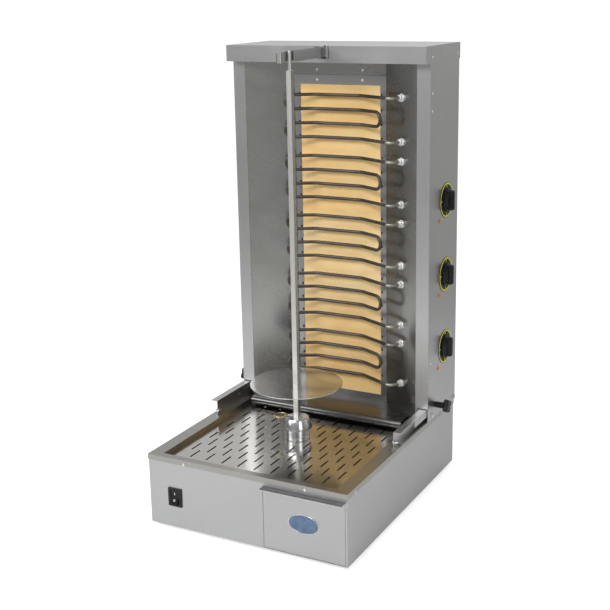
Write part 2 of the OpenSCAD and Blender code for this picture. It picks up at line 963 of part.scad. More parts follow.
loop_r = run_pitch / 2;
wing_angle = 26.9;
wing_dir = [cos(wing_angle), -sin(wing_angle)];
wing_end = [loop_half - loop_r * wing_dir[0],
            run_y + wing_dir[1] * ((loop_half - run_half) / wing_dir[0] - loop_r)];
bend_r = 14;
bend_steps = 4;
loop_steps = 8;
tube_sides = 10;
// The corner where the line of a wing meets the line of a terminal
corner_gap = nut_xy - [run_half, run_y];
corner_t = (corner_gap[0] * wing_dir[1] - corner_gap[1] * wing_dir[0])
    / (normal[0] * wing_dir[1] - normal[1] * wing_dir[0]);
corner = nut_xy - normal * corner_t;
corner_turn = wall_turn + wing_angle;
corner_cut = bend_r * tan(corner_turn / 2);
bend_centre = corner - wing_dir * corner_cut + bend_r * [-wing_dir[1], wing_dir[0]];
terminal_bend = [for (k = [0:bend_steps])
    let (a = -90 - wing_angle + k * corner_turn / bend_steps)
        bend_centre + bend_r * [cos(a), sin(a)]];

function reversed(list) = [for (i = [len(list) - 1:-1:0]) list[i]];
function at_z(points, z) = [for (p = points) [p[0], p[1], z]];
function unit(v) = v / norm(v);

// Points of the half turn between two runs, from the upper to the lower one
function loop_points(side, z) = [for (k = [1:loop_steps - 1])
    let (a = k * 180 / loop_steps, out = loop_r * sin(a))
        [side * (wing_end[0] + wing_dir[0] * out), wing_end[1] + wing_dir[1] * out,
         z + loop_r * cos(a)]];

// Middle line of one element: four runs joined by two loops on the left and one on the right
function element_path(top) =
    let (left = [[-wing_end[0], wing_end[1]], [-run_half, run_y]],
         looped = concat(left, [[run_half, run_y], [wing_end[0], wing_end[1]]]),
         ended = concat(left, [[run_half, run_y]], terminal_bend, [nut_xy + normal * 20]))
        concat(at_z(reversed(ended), top),
               loop_points(-1, top - loop_r),
               at_z(looped, top - run_pitch),
               loop_points(1, top - 3 * loop_r),
               at_z(reversed(looped), top - 2 * run_pitch),
               loop_points(-1, top - 5 * loop_r),
               at_z(ended, top - 3 * run_pitch));

// A ring of points around a point of a path, square to the path there
function ring(path, i) =
    let (before = path[max(i - 1, 0)], after = path[min(i + 1, len(path) - 1)],
         a = i == 0 ? unit(after - path[i]) : unit(path[i] - before),
         b = i == len(path) - 1 ? a : unit(after - path[i]),
         along = unit(a + b),
         u = unit(cross(along, [0, 1, 0])),
         v = cross(u, along))
        [for (k = [0:tube_sides - 1])
            let (turn = k * 360 / tube_sides)
                path[i] + tube_d / 2 * (cos(turn) * u + sin(turn) * v)];

// A closed tube along a path
module swept_tube(path) {
    n = tube_sides;
    rings = len(path);
    points = [for (i = [0:rings - 1]) for (p = ring(path, i)) p];
    walls = [for (i = [0:rings - 2], k = [0:n - 1])
        let (k2 = (k + 1) % n)
            each [[i * n + k, i * n + k2, (i + 1) * n + k2],
                  [i * n + k, (i + 1) * n + k2, (i + 1) * n + k]]];
    ends = [[for (k = [n - 1:-1:0]) k], [for (k = [0:n - 1]) (rings - 1) * n + k]];
    polyhedron(points, concat(walls, ends));
}

module heating_element(index) {
    color([0.3, 0.28, 0.27])
    swept_tube(element_path(first_run - index * element_pitch));
}

module heating_element_1() {
    heating_element(0);
}

module heating_element_2() {
    heating_element(1);
}

module heating_element_3() {
    heating_element(2);
}

module heating_element_4() {
    heating_element(3);
}

module heating_element_5() {
    heating_element(4);
}

module element_nuts() {
    color("whitesmoke")
    at_terminals()
        translate([0, 0, -nut_h - washer_t])
            difference() {
                union() {
                    cylinder(d = nut_af / cos(30), h = nut_h + eps, $fn = 6);
                    translate([0, 0, nut_h])
                        cylinder(d = washer_d, h = washer_t);
                }
                translate([0, 0, -1])
                    cylinder(d = tube_d + 2 * fit, h = nut_h + washer_t + 2);
            }
}

// ---- Rollers and clamps ----

module roller(side, y) {
    color("whitesmoke")
    difference() {
        rod_x([side > 0 ? roller_x : -roller_x - roller_w, y, roller_z], roller_d, roller_w);
        rod_x([side > 0 ? roller_x - 1 : -roller_x - roller_w - 1, y, roller_z],
              roller_bolt_d + 2 * fit, roller_w + 2);
    }
}

module front_left_roller() {
    roller(-1, roller_front);
}

module front_right_roller() {
    roller(1, roller_front);
}

module rear_left_roller() {
    roller(-1, roller_rear);
}

module rear_right_roller() {
    roller(1, roller_rear);
}

module roller_bolts() {
    color("whitesmoke")
    both_sides()
        for (y = [roller_front, roller_rear]) {
            rod_x([tower_x, y, roller_z], 11, 4.5);
            rod_x([roller_x - 0.5, y, roller_z], roller_bolt_d, tower_x - roller_x + 1);
            rod_x([roller_x - 1.8, y, roller_z], 9, 1.4);
        }
}

module clamp_knob() {
    lobe_d = 11;
    star_h = 12;
    reach = tower_x + clamp_reach;
    color([0.12, 0.12, 0.12])
    translate([0, clamp_y, clamp_z]) {
        rod_x([rail_out + 0.4, 0, 0], stud_d, reach - rail_out - 8);
        rod_x([tower_x + 1, 0, 0], 15, clamp_reach - 3);
        rod_x([reach - star_h, 0, 0], clamp_d - lobe_d - 2, star_h - 1);
        for (a = [0:90:270])
            rotate([a + 20, 0, 0])
                rod_x([reach - star_h, 0, clamp_d / 2 - lobe_d / 2], lobe_d, star_h);
    }
}

module right_clamp_knob() {
    clamp_knob();
}

module left_clamp_knob() {
    mirror([1, 0, 0])
        clamp_knob();
}

// ---- Support arm ----

module arm_pivot_pin() {
    color("whitesmoke")
    translate([pivot_x, pivot_y, ceiling_z])
        cylinder(d = pivot_d, h = total_h - ceiling_z - 0.5);
}

module support_arm() {
    mid_r = arm_x;
    tip_y = arm_tip + mid_r;
    color("silver")
    translate([0, 0, arm_z])
        difference() {
            union() {
                block([-arm_x, tip_y, 0], [-arm_x + arm_wall, pivot_y, arm_h]);
                block([arm_x - arm_wall, arm_entry, 0], [arm_x, pivot_y, arm_h]);
                translate([0, tip_y, 0])
                    rotate([0, 0, 180])
                        rotate_extrude(angle = 180)
                            translate([arm_x - arm_wall, 0])
                                square([arm_wall, arm_h]);
                block([-arm_x, pivot_y - 6, 0], [arm_x, pivot_y - 3, arm_h]);
                translate([pivot_x, pivot_y, 0])
                    cylinder(d = barrel_d, h = arm_h);
            }
            translate([pivot_x, pivot_y, -1])
                cylinder(d = pivot_d + 2 * fit, h = arm_h + 2);
        }
}

// ---- Controls on the right side ----

module dial_plates() {
    color([0.1, 0.1, 0.1])
    for (z = dials)
        difference() {
            rod_x([tower_x, dial_y, z], dial_d, dial_t);
            rod_x([tower_x - 1, dial_y, z], knob_shaft_d + 4, dial_t + 2);
        }
}

module control_knob(z) {
    base_x = tower_x + dial_t + gap;
    skirt = 5;
    grip_w = 15;
    reach = tower_x + knob_reach;
    color([0.12, 0.12, 0.12])
    translate([0, dial_y, z]) {
        rod_x([tower_x - 8, 0, 0], knob_shaft_d, 8 + dial_t + gap + 2);
        rod_x([base_x, 0, 0], knob_d, skirt);
        rod_x([base_x, 0, 0], knob_d - 16, skirt + 4);
        intersection() {
            rod_x([base_x, 0, 0], knob_d - 1, reach - base_x);
            block([base_x, -grip_w / 2, -knob_d / 2], [reach, grip_w / 2, knob_d / 2]);
        }
    }
}

module top_knob() {
    control_knob(dials[2]);
}

module middle_knob() {
    control_knob(dials[1]);
}

module bottom_knob() {
    control_knob(dials[0]);
}

module rotary_switches() {
    half = 20;
    color("dimgray")
    for (z = dials)
        difference() {
            block([tower_x - sheet - switch_depth, dial_y - half, z - half],
                  [tower_x - sheet, dial_y + half, z + half]);
            rod_x([tower_x - sheet - 10, dial_y, z], knob_shaft_d + 2 * fit, 11);
        }
}

module indicator_lamps() {
    color("darkorange")
    for (z = dials) {
        rod_x([tower_x, lamp_y, z - lamp_drop], lamp_d, 2);
        rod_x([tower_x - 14, lamp_y, z - lamp_drop], lamp_d - 2, 14 + eps);
    }
}

base_housing();
base_rear_panel();
base_floor();
feet();
top_frame();
drip_tray();
fat_collector();
drawer_runners();
drawer_box();
drawer_front();
badge();
left_rail();
right_rail();
rail_fasteners();
skirt_screws();
switch_bezel();
switch_rocker();
motor_bracket();
gear_motor();
shaft_bush();
motor_shaft();
drive_hub();
cable_gland();
terminal_block();
spit_bar();
spit_disc();
spit_clip();
left_column();
right_column();
tower_rear_panel();
top_cap();
tower_ceiling();
left_reflector();
right_reflector();
refractory_frame();
refractory_panel();
insulation_blanket();
drip_lip();
heating_element_1();
heating_element_2();
heating_element_3();
heating_element_4();
heating_element_5();
element_nuts();
front_left_roller();
front_right_roller();
rear_left_roller();
rear_right_roller();
roller_bolts();
arm_pivot_pin();
support_arm();
dial_plates();
top_knob();
middle_knob();
bottom_knob();
rotary_switches();
indicator_lamps();
left_clamp_knob();
right_clamp_knob();
tower_screws();
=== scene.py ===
"""Looks of the vertical rotisserie grill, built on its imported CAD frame."""

import json
import math

import bmesh
import bpy
from mathutils import Matrix, Vector

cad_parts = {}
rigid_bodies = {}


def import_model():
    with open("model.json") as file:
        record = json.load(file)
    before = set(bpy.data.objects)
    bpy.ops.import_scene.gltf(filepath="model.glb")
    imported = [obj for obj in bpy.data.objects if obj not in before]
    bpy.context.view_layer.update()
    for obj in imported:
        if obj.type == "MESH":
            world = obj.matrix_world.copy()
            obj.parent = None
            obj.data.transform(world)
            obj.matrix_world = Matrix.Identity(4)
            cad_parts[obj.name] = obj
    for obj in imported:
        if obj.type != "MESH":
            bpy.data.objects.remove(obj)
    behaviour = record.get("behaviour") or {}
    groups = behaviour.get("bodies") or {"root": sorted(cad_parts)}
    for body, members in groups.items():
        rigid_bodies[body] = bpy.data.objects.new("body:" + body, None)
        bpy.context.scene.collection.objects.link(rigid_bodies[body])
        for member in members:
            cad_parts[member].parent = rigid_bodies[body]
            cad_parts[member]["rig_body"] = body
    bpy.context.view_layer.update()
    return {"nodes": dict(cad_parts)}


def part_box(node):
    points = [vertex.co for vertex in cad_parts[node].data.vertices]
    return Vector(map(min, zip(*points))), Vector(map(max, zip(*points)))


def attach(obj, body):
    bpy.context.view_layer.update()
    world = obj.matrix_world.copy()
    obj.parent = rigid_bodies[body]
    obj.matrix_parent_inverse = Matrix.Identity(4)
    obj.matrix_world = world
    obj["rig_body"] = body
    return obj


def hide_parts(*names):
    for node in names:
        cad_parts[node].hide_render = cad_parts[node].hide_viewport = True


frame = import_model()
BODY = {n: o["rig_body"] for n, o in frame["nodes"].items()}


# ---------------------------------------------------------------- camera

SENSOR_WIDTH = 36
FOCAL_LENGTH = 66.623607
LENS_SHIFT = -0.06
CAMERA_AT = (1.1972, -2.2510, 1.2028)
CAMERA_TURN = (28.075, 14.026, -1.089)  # yaw, pitch and roll in degrees


def make_camera():
    yaw, pitch, roll = (math.radians(a) for a in CAMERA_TURN)
    forward = Vector((-math.sin(yaw) * math.cos(pitch), math.cos(yaw) * math.cos(pitch), -math.sin(pitch)))
    right = Vector((math.cos(yaw), math.sin(yaw), 0))
    up = right.cross(forward)
    right, up = (math.cos(roll) * right + math.sin(roll) * up,
                 -math.sin(roll) * right + math.cos(roll) * up)
    data = bpy.data.cameras.new("main_camera")
    data.sensor_width = SENSOR_WIDTH
    data.lens = FOCAL_LENGTH
    data.shift_x = 0
    data.shift_y = LENS_SHIFT
    data.clip_start, data.clip_end = 0.05, 60
    cam = bpy.data.objects.new("main_camera", data)
    bpy.context.scene.collection.objects.link(cam)
    cam.matrix_world = Matrix((
        (right.x, up.x, -forward.x, CAMERA_AT[0]),
        (right.y, up.y, -forward.y, CAMERA_AT[1]),
        (right.z, up.z, -forward.z, CAMERA_AT[2]),
        (0, 0, 0, 1)))
    bpy.context.scene.camera = cam


make_camera()


# ---------------------------------------------------------------- materials

class Nodes:
    """A short way to write node trees."""

    def __init__(self, name):
        self.material = bpy.data.materials.new(name)
        self.material.use_nodes = True
        self.tree = self.material.node_tree
        self.tree.nodes.clear()
        self.out = self.tree.nodes.new("ShaderNodeOutputMaterial")
        self.shader = self.tree.nodes.new("ShaderNodeBsdfPrincipled")
        self.tree.links.new(self.shader.outputs[0], self.out.inputs[0])
        self.place = self.tree.nodes.new("ShaderNodeTexCoord").outputs["Object"]

    def link(self, a, b):
        self.tree.links.new(a, b)

    def set(self, **values):
        for key, value in values.items():
            self.shader.inputs[key.replace("_", " ")].default_value = value

    def coords(self, scale, turn=(0, 0, 0), move=(0, 0, 0)):
        n = self.tree.nodes.new("ShaderNodeMapping")
        self.link(self.place, n.inputs["Vector"])
        n.inputs["Location"].default_value = move
        n.inputs["Scale"].default_value = scale
        n.inputs["Rotation"].default_value = turn
        return n.outputs[0]

    def noise(self, vector, scale=1.0, detail=3.0, rough=0.5, warp=0.0):
        n = self.tree.nodes.new("ShaderNodeTexNoise")
        self.link(vector, n.inputs["Vector"])
        n.inputs["Scale"].default_value = scale
        n.inputs["Detail"].default_value = detail
        n.inputs["Roughness"].default_value = rough
        n.inputs["Distortion"].default_value = warp
        return n.outputs["Fac"]

    def cells(self, vector, scale, feature="F1", output="Distance"):
        n = self.tree.nodes.new("ShaderNodeTexVoronoi")
        n.feature = feature
        self.link(vector, n.inputs["Vector"])
        n.inputs["Scale"].default_value = scale
        return n.outputs[output]

    def band(self, value, low, high, to_low=0.0, to_high=1.0):
        n = self.tree.nodes.new("ShaderNodeMapRange")
        n.inputs["From Min"].default_value = low
        n.inputs["From Max"].default_value = high
        n.inputs["To Min"].default_value = to_low
        n.inputs["To Max"].default_value = to_high
        self.link(value, n.inputs["Value"])
        return n.outputs["Result"]

    def math(self, kind, a, b=None, clamp=False):
        n = self.tree.nodes.new("ShaderNodeMath")
        n.operation = kind
        n.use_clamp = clamp
        for i, v in enumerate((a, b)):
            if v is None:
                continue
            if isinstance(v, (int, float)):
                n.inputs[i].default_value = v
            else:
                self.link(v, n.inputs[i])
        return n.outputs[0]

    def ramp(self, value, *stops):
        n = self.tree.nodes.new("ShaderNodeValToRGB")
        ramp = n.color_ramp
        while len(ramp.elements) < len(stops):
            ramp.elements.new(0.5)
        for e, (at, colour) in zip(ramp.elements, stops):
            e.position = at
            e.color = (*colour, 1)
        self.link(value, n.inputs["Fac"])
        return n.outputs["Color"]

    def mix(self, fac, a, b, kind="MIX"):
        n = self.tree.nodes.new("ShaderNodeMix")
        n.data_type = "RGBA"
        n.blend_type = kind
        for socket, v in ((n.inputs[0], fac), (n.inputs[6], a), (n.inputs[7], b)):
            if isinstance(v, (int, float)):
                socket.default_value = v
            elif isinstance(v, tuple):
                socket.default_value = (*v, 1)
            else:
                self.link(v, socket)
        return n.outputs[2]

    def bump(self, height, strength, distance, below=None):
        n = self.tree.nodes.new("ShaderNodeBump")
        n.inputs["Strength"].default_value = strength
        n.inputs["Distance"].default_value = distance
        self.link(height, n.inputs["Height"])
        if below is not None:
            self.link(below, n.inputs["Normal"])
        return n.outputs["Normal"]

    def parts(self, vector):
        n = self.tree.nodes.new("ShaderNodeSeparateXYZ")
        self.link(vector, n.inputs[0])
        return n.outputs

    def colour(self, value):
        self.link(value, self.shader.inputs["Base Color"])

    def roughness(self, value):
        self.link(value, self.shader.inputs["Roughness"])

    def normal(self, value):
        self.link(value, self.shader.inputs["Normal"])


def stretched(axis, along=4.0, across=1100.0):
    return tuple(along if a == axis else across for a in "xyz")


def brushed(name, tone, axis, rough=0.30, spread=0.05, grain=0.05, spots=()):
    """Sheet steel with grain along one axis, faint smudges and fine scratches."""
    n = Nodes(name)
    n.set(Metallic=1.0, IOR=2.4)
    fine = n.noise(n.coords(stretched(axis)), detail=4, rough=0.6)
    coarse = n.noise(n.coords(stretched(axis, 1.2, 260)), detail=2)
    smudge = n.noise(n.coords((5, 5, 5)), detail=4, rough=0.6, warp=0.6)
    dust = n.noise(n.coords((60, 60, 60)), detail=5, rough=0.7)
    scratch = n.band(n.noise(n.coords(stretched(axis, 14, 300), turn=(0.05, 0.04, 0.06)), detail=1), 0.73, 0.80)
    lines = n.math("ADD", n.math("MULTIPLY", fine, 0.85), n.math("MULTIPLY", coarse, 0.15))
    dark = tuple(c * 0.95 for c in tone)
    light = tuple(min(1.0, c * 1.03) for c in tone)
    c = n.ramp(lines, (0.30, dark), (0.50, tone), (0.72, light))
    c = n.mix(n.band(smudge, 0.35, 0.75, 0.0, 0.12), c, tuple(c_ * 0.85 for c_ in tone))
    c = n.mix(n.math("MULTIPLY", scratch, 0.25), c, light)
    for x, y, z, r in spots:
        far = n.tree.nodes.new("ShaderNodeVectorMath")
        far.operation = "DISTANCE"
        n.link(n.place, far.inputs[0])
        far.inputs[1].default_value = (x, y, z)
        c = n.mix(n.band(far.outputs["Value"], r, r * 0.4, 0.0, 0.75), c, tuple(t * 0.45 for t in tone))
    n.colour(c)
    base = n.band(lines, 0.3, 0.7, rough - spread / 2, rough + spread / 2)
    base = n.math("ADD", base, n.band(smudge, 0.35, 0.75, 0.0, 0.07))
    base = n.math("ADD", base, n.band(dust, 0.55, 0.8, 0.0, 0.05), clamp=True)
    n.roughness(base)
    n.normal(n.bump(lines, grain, 0.0002))
    return n.material


def mirror(name, tone, rough=0.10, ring=None):
    """Polished steel: wiping marks, fine scratches; ring gives the axis of turned marks."""
    n = Nodes(name)
    n.set(Metallic=1.0)
    wipe = n.noise(n.coords((6, 14, 14), turn=(0, 0, 0.5)), detail=4, rough=0.55, warp=0.8)
    fine = n.noise(n.coords((500, 18, 500), turn=(0, 0, 0.12)), detail=3)
    if ring:
        p = n.parts(n.coords((1, 1, 1), move=(-ring[0], -ring[1], 0)))
        r = n.math("SQRT", n.math("ADD", n.math("MULTIPLY", p[0], p[0]), n.math("MULTIPLY", p[1], p[1])))
        wave = n.math("SINE", n.math("MULTIPLY", r, 5200.0))
        fine = n.math("ADD", n.math("MULTIPLY", fine, 0.4), n.math("MULTIPLY", n.math("ADD", wave, 1.0), 0.3))
    dull, bright = tuple(t * 0.93 for t in tone), tuple(min(1, t * 1.04) for t in tone)
    c = n.ramp(wipe, (0.25, dull), (0.55, tone), (0.8, bright))
    n.colour(c)
    n.roughness(n.math("ADD", n.band(wipe, 0.3, 0.75, rough, rough + 0.05), n.band(fine, 0.3, 0.8, 0.0, 0.04)))
    n.normal(n.bump(fine, 0.025, 0.0002))
    return n.material


def plated(name, tone, rough=0.22, tint=None, metal=1.0):
    """Zinc or chrome plating on small hardware."""
    n = Nodes(name)
    n.set(Metallic=metal)
    blot = n.noise(n.coords((90, 90, 90)), detail=5, rough=0.6, warp=0.8)
    fine = n.noise(n.coords((900, 900, 900)), detail=2)
    other = tint or tuple(t * 0.78 for t in tone)
    n.colour(n.ramp(blot, (0.3, other), (0.6, tone), (0.8, tuple(min(1, t * 1.08) for t in tone))))
    n.roughness(n.band(blot, 0.3, 0.75, rough - 0.06, rough + 0.12))
    n.normal(n.bump(fine, 0.06, 0.0002))
    return n.material


def turned(name, tone, axis_xy):
    """Lathe-turned aluminium round an upright axis."""
    n = Nodes(name)
    n.set(Metallic=1.0, Anisotropic=0.3)
    p = n.parts(n.coords((1, 1, 1), move=(-axis_xy[0], -axis_xy[1], 0)))
    r = n.math("SQRT", n.math("ADD", n.math("MULTIPLY", p[0], p[0]), n.math("MULTIPLY", p[1], p[1])))
    way = n.math("ADD", r, p[2])
    wave = n.math("MULTIPLY", n.math("ADD", n.math("SINE", n.math("MULTIPLY", way, 7000.0)), 1.0), 0.5)
    soft = n.noise(n.coords((30, 30, 700)), detail=4)
    blot = n.noise(n.coords((25, 25, 25)), detail=4, warp=0.5)
    lines = n.math("ADD", n.math("MULTIPLY", wave, 0.4), n.math("MULTIPLY", soft, 0.6))
    dull, bright = tuple(t * 0.82 for t in tone), tuple(min(1, t * 1.06) for t in tone)
    n.colour(n.ramp(lines, (0.2, dull), (0.6, tone), (0.9, bright)))
    n.roughness(n.math("ADD", n.band(lines, 0.2, 0.9, 0.14, 0.28), n.band(blot, 0.4, 0.7, 0.0, 0.06)))
    n.normal(n.bump(lines, 0.10, 0.0003))
    return n.material


def oxidised(name, tone, light, rough=0.42, metal=0.75):
    """Sheath of a heating tube, browned by heat."""
    n = Nodes(name)
    n.set(Metallic=metal)
    heat = n.noise(n.coords((14, 14, 40)), detail=5, rough=0.6, warp=0.5)
    grit = n.noise(n.coords((700, 700, 700)), detail=3, rough=0.6)
    n.colour(n.ramp(heat, (0.28, tuple(t * 0.7 for t in tone)), (0.5, tone), (0.78, light)))
    n.roughness(n.math("ADD", n.band(heat, 0.3, 0.7, rough - 0.08, rough + 0.06), n.band(grit, 0.4, 0.7, 0.0, 0.08)))
    n.normal(n.bump(grit, 0.18, 0.0002))
    return n.material


def ceramic(name, low, mid, high):
    """Fibre refractory board: cream to orange clouds, specks and a soft pitted face."""
    n = Nodes(name)
    n.set(Metallic=0.0)
    cloud = n.noise(n.coords((7, 7, 9)), detail=4, rough=0.55, warp=0.7)
    broad = n.noise(n.coords((2.2, 2.2, 3.0), move=(3, 1, 2)), detail=2)
    fibre = n.noise(n.coords((60, 60, 420)), detail=4, rough=0.6, warp=0.4)
    grit = n.noise(n.coords((520, 520, 520)), detail=3, rough=0.7)
    pits = n.cells(n.coords((1, 1, 1)), 260)
    both = n.math("ADD", n.math("MULTIPLY", cloud, 0.6), n.math("MULTIPLY", broad, 0.4))
    c = n.ramp(both, (0.34, low), (0.50, mid), (0.66, high))
    c = n.mix(n.band(grit, 0.60, 0.78, 0.0, 0.35), c, tuple(l * 0.62 for l in low))
    c = n.mix(n.band(fibre, 0.45, 0.75, 0.0, 0.20), c, high)
    edge = n.band(n.math("ABSOLUTE", n.parts(n.place)[0]), BOARD_EDGE, BOARD_EDGE + 0.0003)
    c = n.mix(edge, c, (0.03, 0.026, 0.022))  # painted shade: past the frame opening the board is near-black, so the frame's notches look dark
    n.colour(c)
    n.roughness(n.band(grit, 0.3, 0.7, 0.78, 0.95))
    h = n.math("ADD", n.math("MULTIPLY", grit, 0.5), n.math("MULTIPLY", n.band(pits, 0.0, 0.35), 0.5))
    n.normal(n.bump(h, 0.22, 0.0005, n.bump(fibre, 0.12, 0.0006)))
    return n.material


def moulded(name, tone, rough=0.38, grain=0.12, fleck=(0.0, 0.0, 0.0), coat=0.0):
    """Moulded plastic, enamel or rubber with a fine skin."""
    n = Nodes(name)
    n.set(Metallic=0.0, Coat_Weight=coat, Coat_Roughness=0.08, Specular_IOR_Level=0.32)
    skin = n.noise(n.coords((1300, 1300, 1300)), detail=2)
    soft = n.noise(n.coords((45, 45, 45)), detail=4, rough=0.6, warp=0.4)
    dark = tuple(t * 0.75 for t in tone)
    light = tuple(min(1.0, t * 1.25 + f) for t, f in zip(tone, fleck))
    n.colour(n.ramp(soft, (0.3, dark), (0.52, tone), (0.78, light)))
    n.roughness(n.math("ADD", n.band(soft, 0.3, 0.7, rough - 0.06, rough + 0.08), n.band(skin, 0.3, 0.7, 0.0, 0.05)))
    n.normal(n.bump(skin, grain, 0.0002))
    return n.material


def spangled(name, tone):
    """Hot-dip galvanised sheet."""
    n = Nodes(name)
    n.set(Metallic=0.9)
    shade = n.parts(n.cells(n.coords((1, 1, 1)), 55, output="Color"))[0]
    fine = n.noise(n.coords((200, 200, 200)), detail=3)
    n.colour(n.ramp(shade, (0.0, tuple(t * 0.72 for t in tone)), (1.0, tuple(min(1, t * 1.15) for t in tone))))
    n.roughness(n.math("ADD", n.band(shade, 0, 1, 0.34, 0.50), n.band(fine, 0.4, 0.7, 0, 0.06)))
    n.normal(n.bump(fine, 0.05, 0.0003))
    return n.material


def wool(name, tone):
    """Mineral wool blanket."""
    n = Nodes(name)
    hair = n.noise(n.coords((900, 60, 900)), detail=6, rough=0.75, warp=2.0)
    lump = n.noise(n.coords((22, 22, 22)), detail=4)
    n.colour(n.ramp(hair, (0.3, tuple(t * 0.7 for t in tone)), (0.55, tone), (0.8, (1, 1, 0.97))))
    n.roughness(n.band(hair, 0, 1, 0.85, 1.0))
    n.normal(n.bump(hair, 0.5, 0.002, n.bump(lump, 0.4, 0.006)))
    return n.material


BOARD_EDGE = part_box("refractory_frame")[1].x - 0.0148
SPIT_XY = tuple(((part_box("spit_bar")[0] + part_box("spit_bar")[1]) / 2)[:2])
STEEL = (0.53, 0.532, 0.534)
CAP_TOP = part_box("top_cap")[1].z
MAT = {
    "steel_x": brushed("steel_grain_across", STEEL, "x"),
    "steel_y": brushed("steel_grain_deep", STEEL, "y"),
    "steel_z": brushed("steel_grain_up", STEEL, "z"),
    "steel_cap": brushed("steel_cap", STEEL, "x",
                         spots=((-0.087, 0.228, CAP_TOP, 0.0035), (0.076, 0.227, CAP_TOP, 0.0035))),
    # painted shade: a darker steel tone for the reflectors, tower ceiling and drawer box inside
    "steel_inner_painted_shade": mirror("reflector_painted_shade", (0.37, 0.37, 0.355), 0.22),
    # painted shade: a dark steel tone for the drip lip and its roll, for the dark interior they reflect
    "pan_painted_shade": brushed("pan_painted_shade", (0.135, 0.135, 0.132), "x", rough=0.27),
    # painted shade: near-black steel for the fat collector, for the shade seen through the tray's slots
    "collector_painted_shade": brushed("collector_painted_shade", (0.018, 0.016, 0.014), "x", rough=0.50),
    "steel_rim": brushed("steel_rim", (0.41, 0.405, 0.385), "x", rough=0.28),
    # painted shade: dark steel for the top face of the drawer's pull lip
    "steel_painted_shade": brushed("lip_top_painted_shade", (0.16, 0.16, 0.165), "x", rough=0.30),
    "steel_frame": brushed("steel_frame", (0.40, 0.40, 0.40), "x", rough=0.28),
    "steel_bar": brushed("steel_bar", (0.72, 0.73, 0.70), "z", rough=0.34, spread=0.12),
    "mirror": mirror("steel_polished", (0.60, 0.585, 0.56), 0.13),
    "disc": mirror("steel_disc", (0.58, 0.57, 0.56), 0.10, ring=SPIT_XY),
    "galvanised": spangled("galvanised", (0.50, 0.51, 0.52)),
    "zinc": plated("zinc_plate", (0.78, 0.79, 0.80)),
    "bright_zinc": plated("bright_nut", (0.98, 0.98, 0.98), 0.25, metal=0.5),
    "yellow_zinc": plated("yellow_zinc", (0.78, 0.68, 0.28), 0.20, tint=(0.55, 0.62, 0.25)),
    "bronze": plated("bronze", (0.66, 0.46, 0.24), 0.30),
    "turned": turned("turned_aluminium", (0.86, 0.87, 0.89), SPIT_XY),
    "element": oxidised("element_tube", (0.085, 0.075, 0.068), (0.16, 0.14, 0.125)),
    "sleeve": oxidised("element_cold_end", (0.34, 0.34, 0.29), (0.48, 0.47, 0.40), rough=0.34, metal=0.9),
    "refractory": ceramic("refractory_board", (0.84, 0.52, 0.20), (0.90, 0.62, 0.27), (0.95, 0.72, 0.38)),
    "wool": wool("mineral_wool", (0.86, 0.85, 0.80)),
    "black": moulded("black_plastic", (0.011, 0.011, 0.013), 0.34),
    "black_matt": moulded("black_dial", (0.016, 0.016, 0.017), 0.48, 0.08),
    "yellow": moulded("yellow_print", (0.92, 0.88, 0.07), 0.45, 0.05),
    "white": moulded("white_print", (0.80, 0.80, 0.78), 0.45, 0.05),
    "lens": moulded("orange_lens", (0.80, 0.24, 0.03), 0.16, 0.02, coat=0.6),
    "badge": moulded("badge_enamel", (0.10, 0.17, 0.28), 0.22, 0.03, coat=0.5),
    "badge_rim": plated("badge_rim", (0.70, 0.70, 0.66), 0.25),
    "rubber": moulded("rubber", (0.030, 0.030, 0.030), 0.7, 0.3),
    "paint": moulded("motor_paint", (0.06, 0.06, 0.065), 0.35, 0.15, coat=0.3),
    "block": moulded("block_plastic", (0.78, 0.74, 0.62), 0.4),
}


# ---------------------------------------------------------------- mesh helpers

def add_object(name, mesh, body, materials, replaces=(), smooth=True):
    o = bpy.data.objects.new(name, mesh)
    bpy.context.scene.collection.objects.link(o)
    if len(mesh.materials):
        mesh.materials.clear()
    for m in materials:
        mesh.materials.append(MAT[m])
    if smooth:
        mesh.shade_smooth()
    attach(o, body)
    if replaces:
        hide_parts(*replaces)
    return o


def finished(name, mesh, body, materials, replaces=(), bevel=0.0, segments=2, angle=32):
    """Adds a mesh with softened edges; the bevel is applied, so nothing is left to evaluate."""
    o = add_object(name, mesh, body, materials, replaces)
    if bevel:
        m = o.modifiers.new("edge", "BEVEL")
        m.width = bevel
        m.segments = segments
        m.limit_method = "ANGLE"
        m.angle_limit = math.radians(angle)
        m.harden_normals = True
        m.use_clamp_overlap = True
        bpy.context.view_layer.update()
        dg = bpy.context.evaluated_depsgraph_get()
        done = bpy.data.meshes.new_from_object(o.evaluated_get(dg), preserve_all_data_layers=True, depsgraph=dg)
        o.modifiers.clear()
        old = o.data
        o.data = done
        bpy.data.meshes.remove(old)
        done.name = name
    return o


def cad_mesh(node):
    """A welded, cleaned copy of a CAD node's mesh."""
    bm = bmesh.new()
    bm.from_mesh(frame["nodes"][node].data)
    bmesh.ops.remove_doubles(bm, verts=bm.verts, dist=2e-6)
    bmesh.ops.dissolve_limit(bm, angle_limit=math.radians(0.4), verts=bm.verts, edges=bm.edges,
                             delimit={"NORMAL"})
    bmesh.ops.recalc_face_normals(bm, faces=bm.faces)
    for e in bm.edges:
        e.smooth = not (len(e.link_faces) == 2 and e.calc_face_angle(0.0) > math.radians(32))
    for f in bm.faces:
        f.material_index = 0
    mesh = bpy.data.meshes.new(node + "_looks")
    bm.to_mesh(mesh)
    bm.free()
    return mesh


def from_cad(node, material, bevel=0.0004, segments=2):
    return finished(node + "_looks", cad_mesh(node), BODY[node], [material], [node], bevel, segments)


def build(name, faces_and_points):
    points, faces, marks = faces_and_points
    mesh = bpy.data.meshes.new(name)
    mesh.from_pydata([tuple(p) for p in points], [], faces)
    for f, m in zip(mesh.polygons, marks):
        f.material_index = m
    mesh.update()
    return mesh


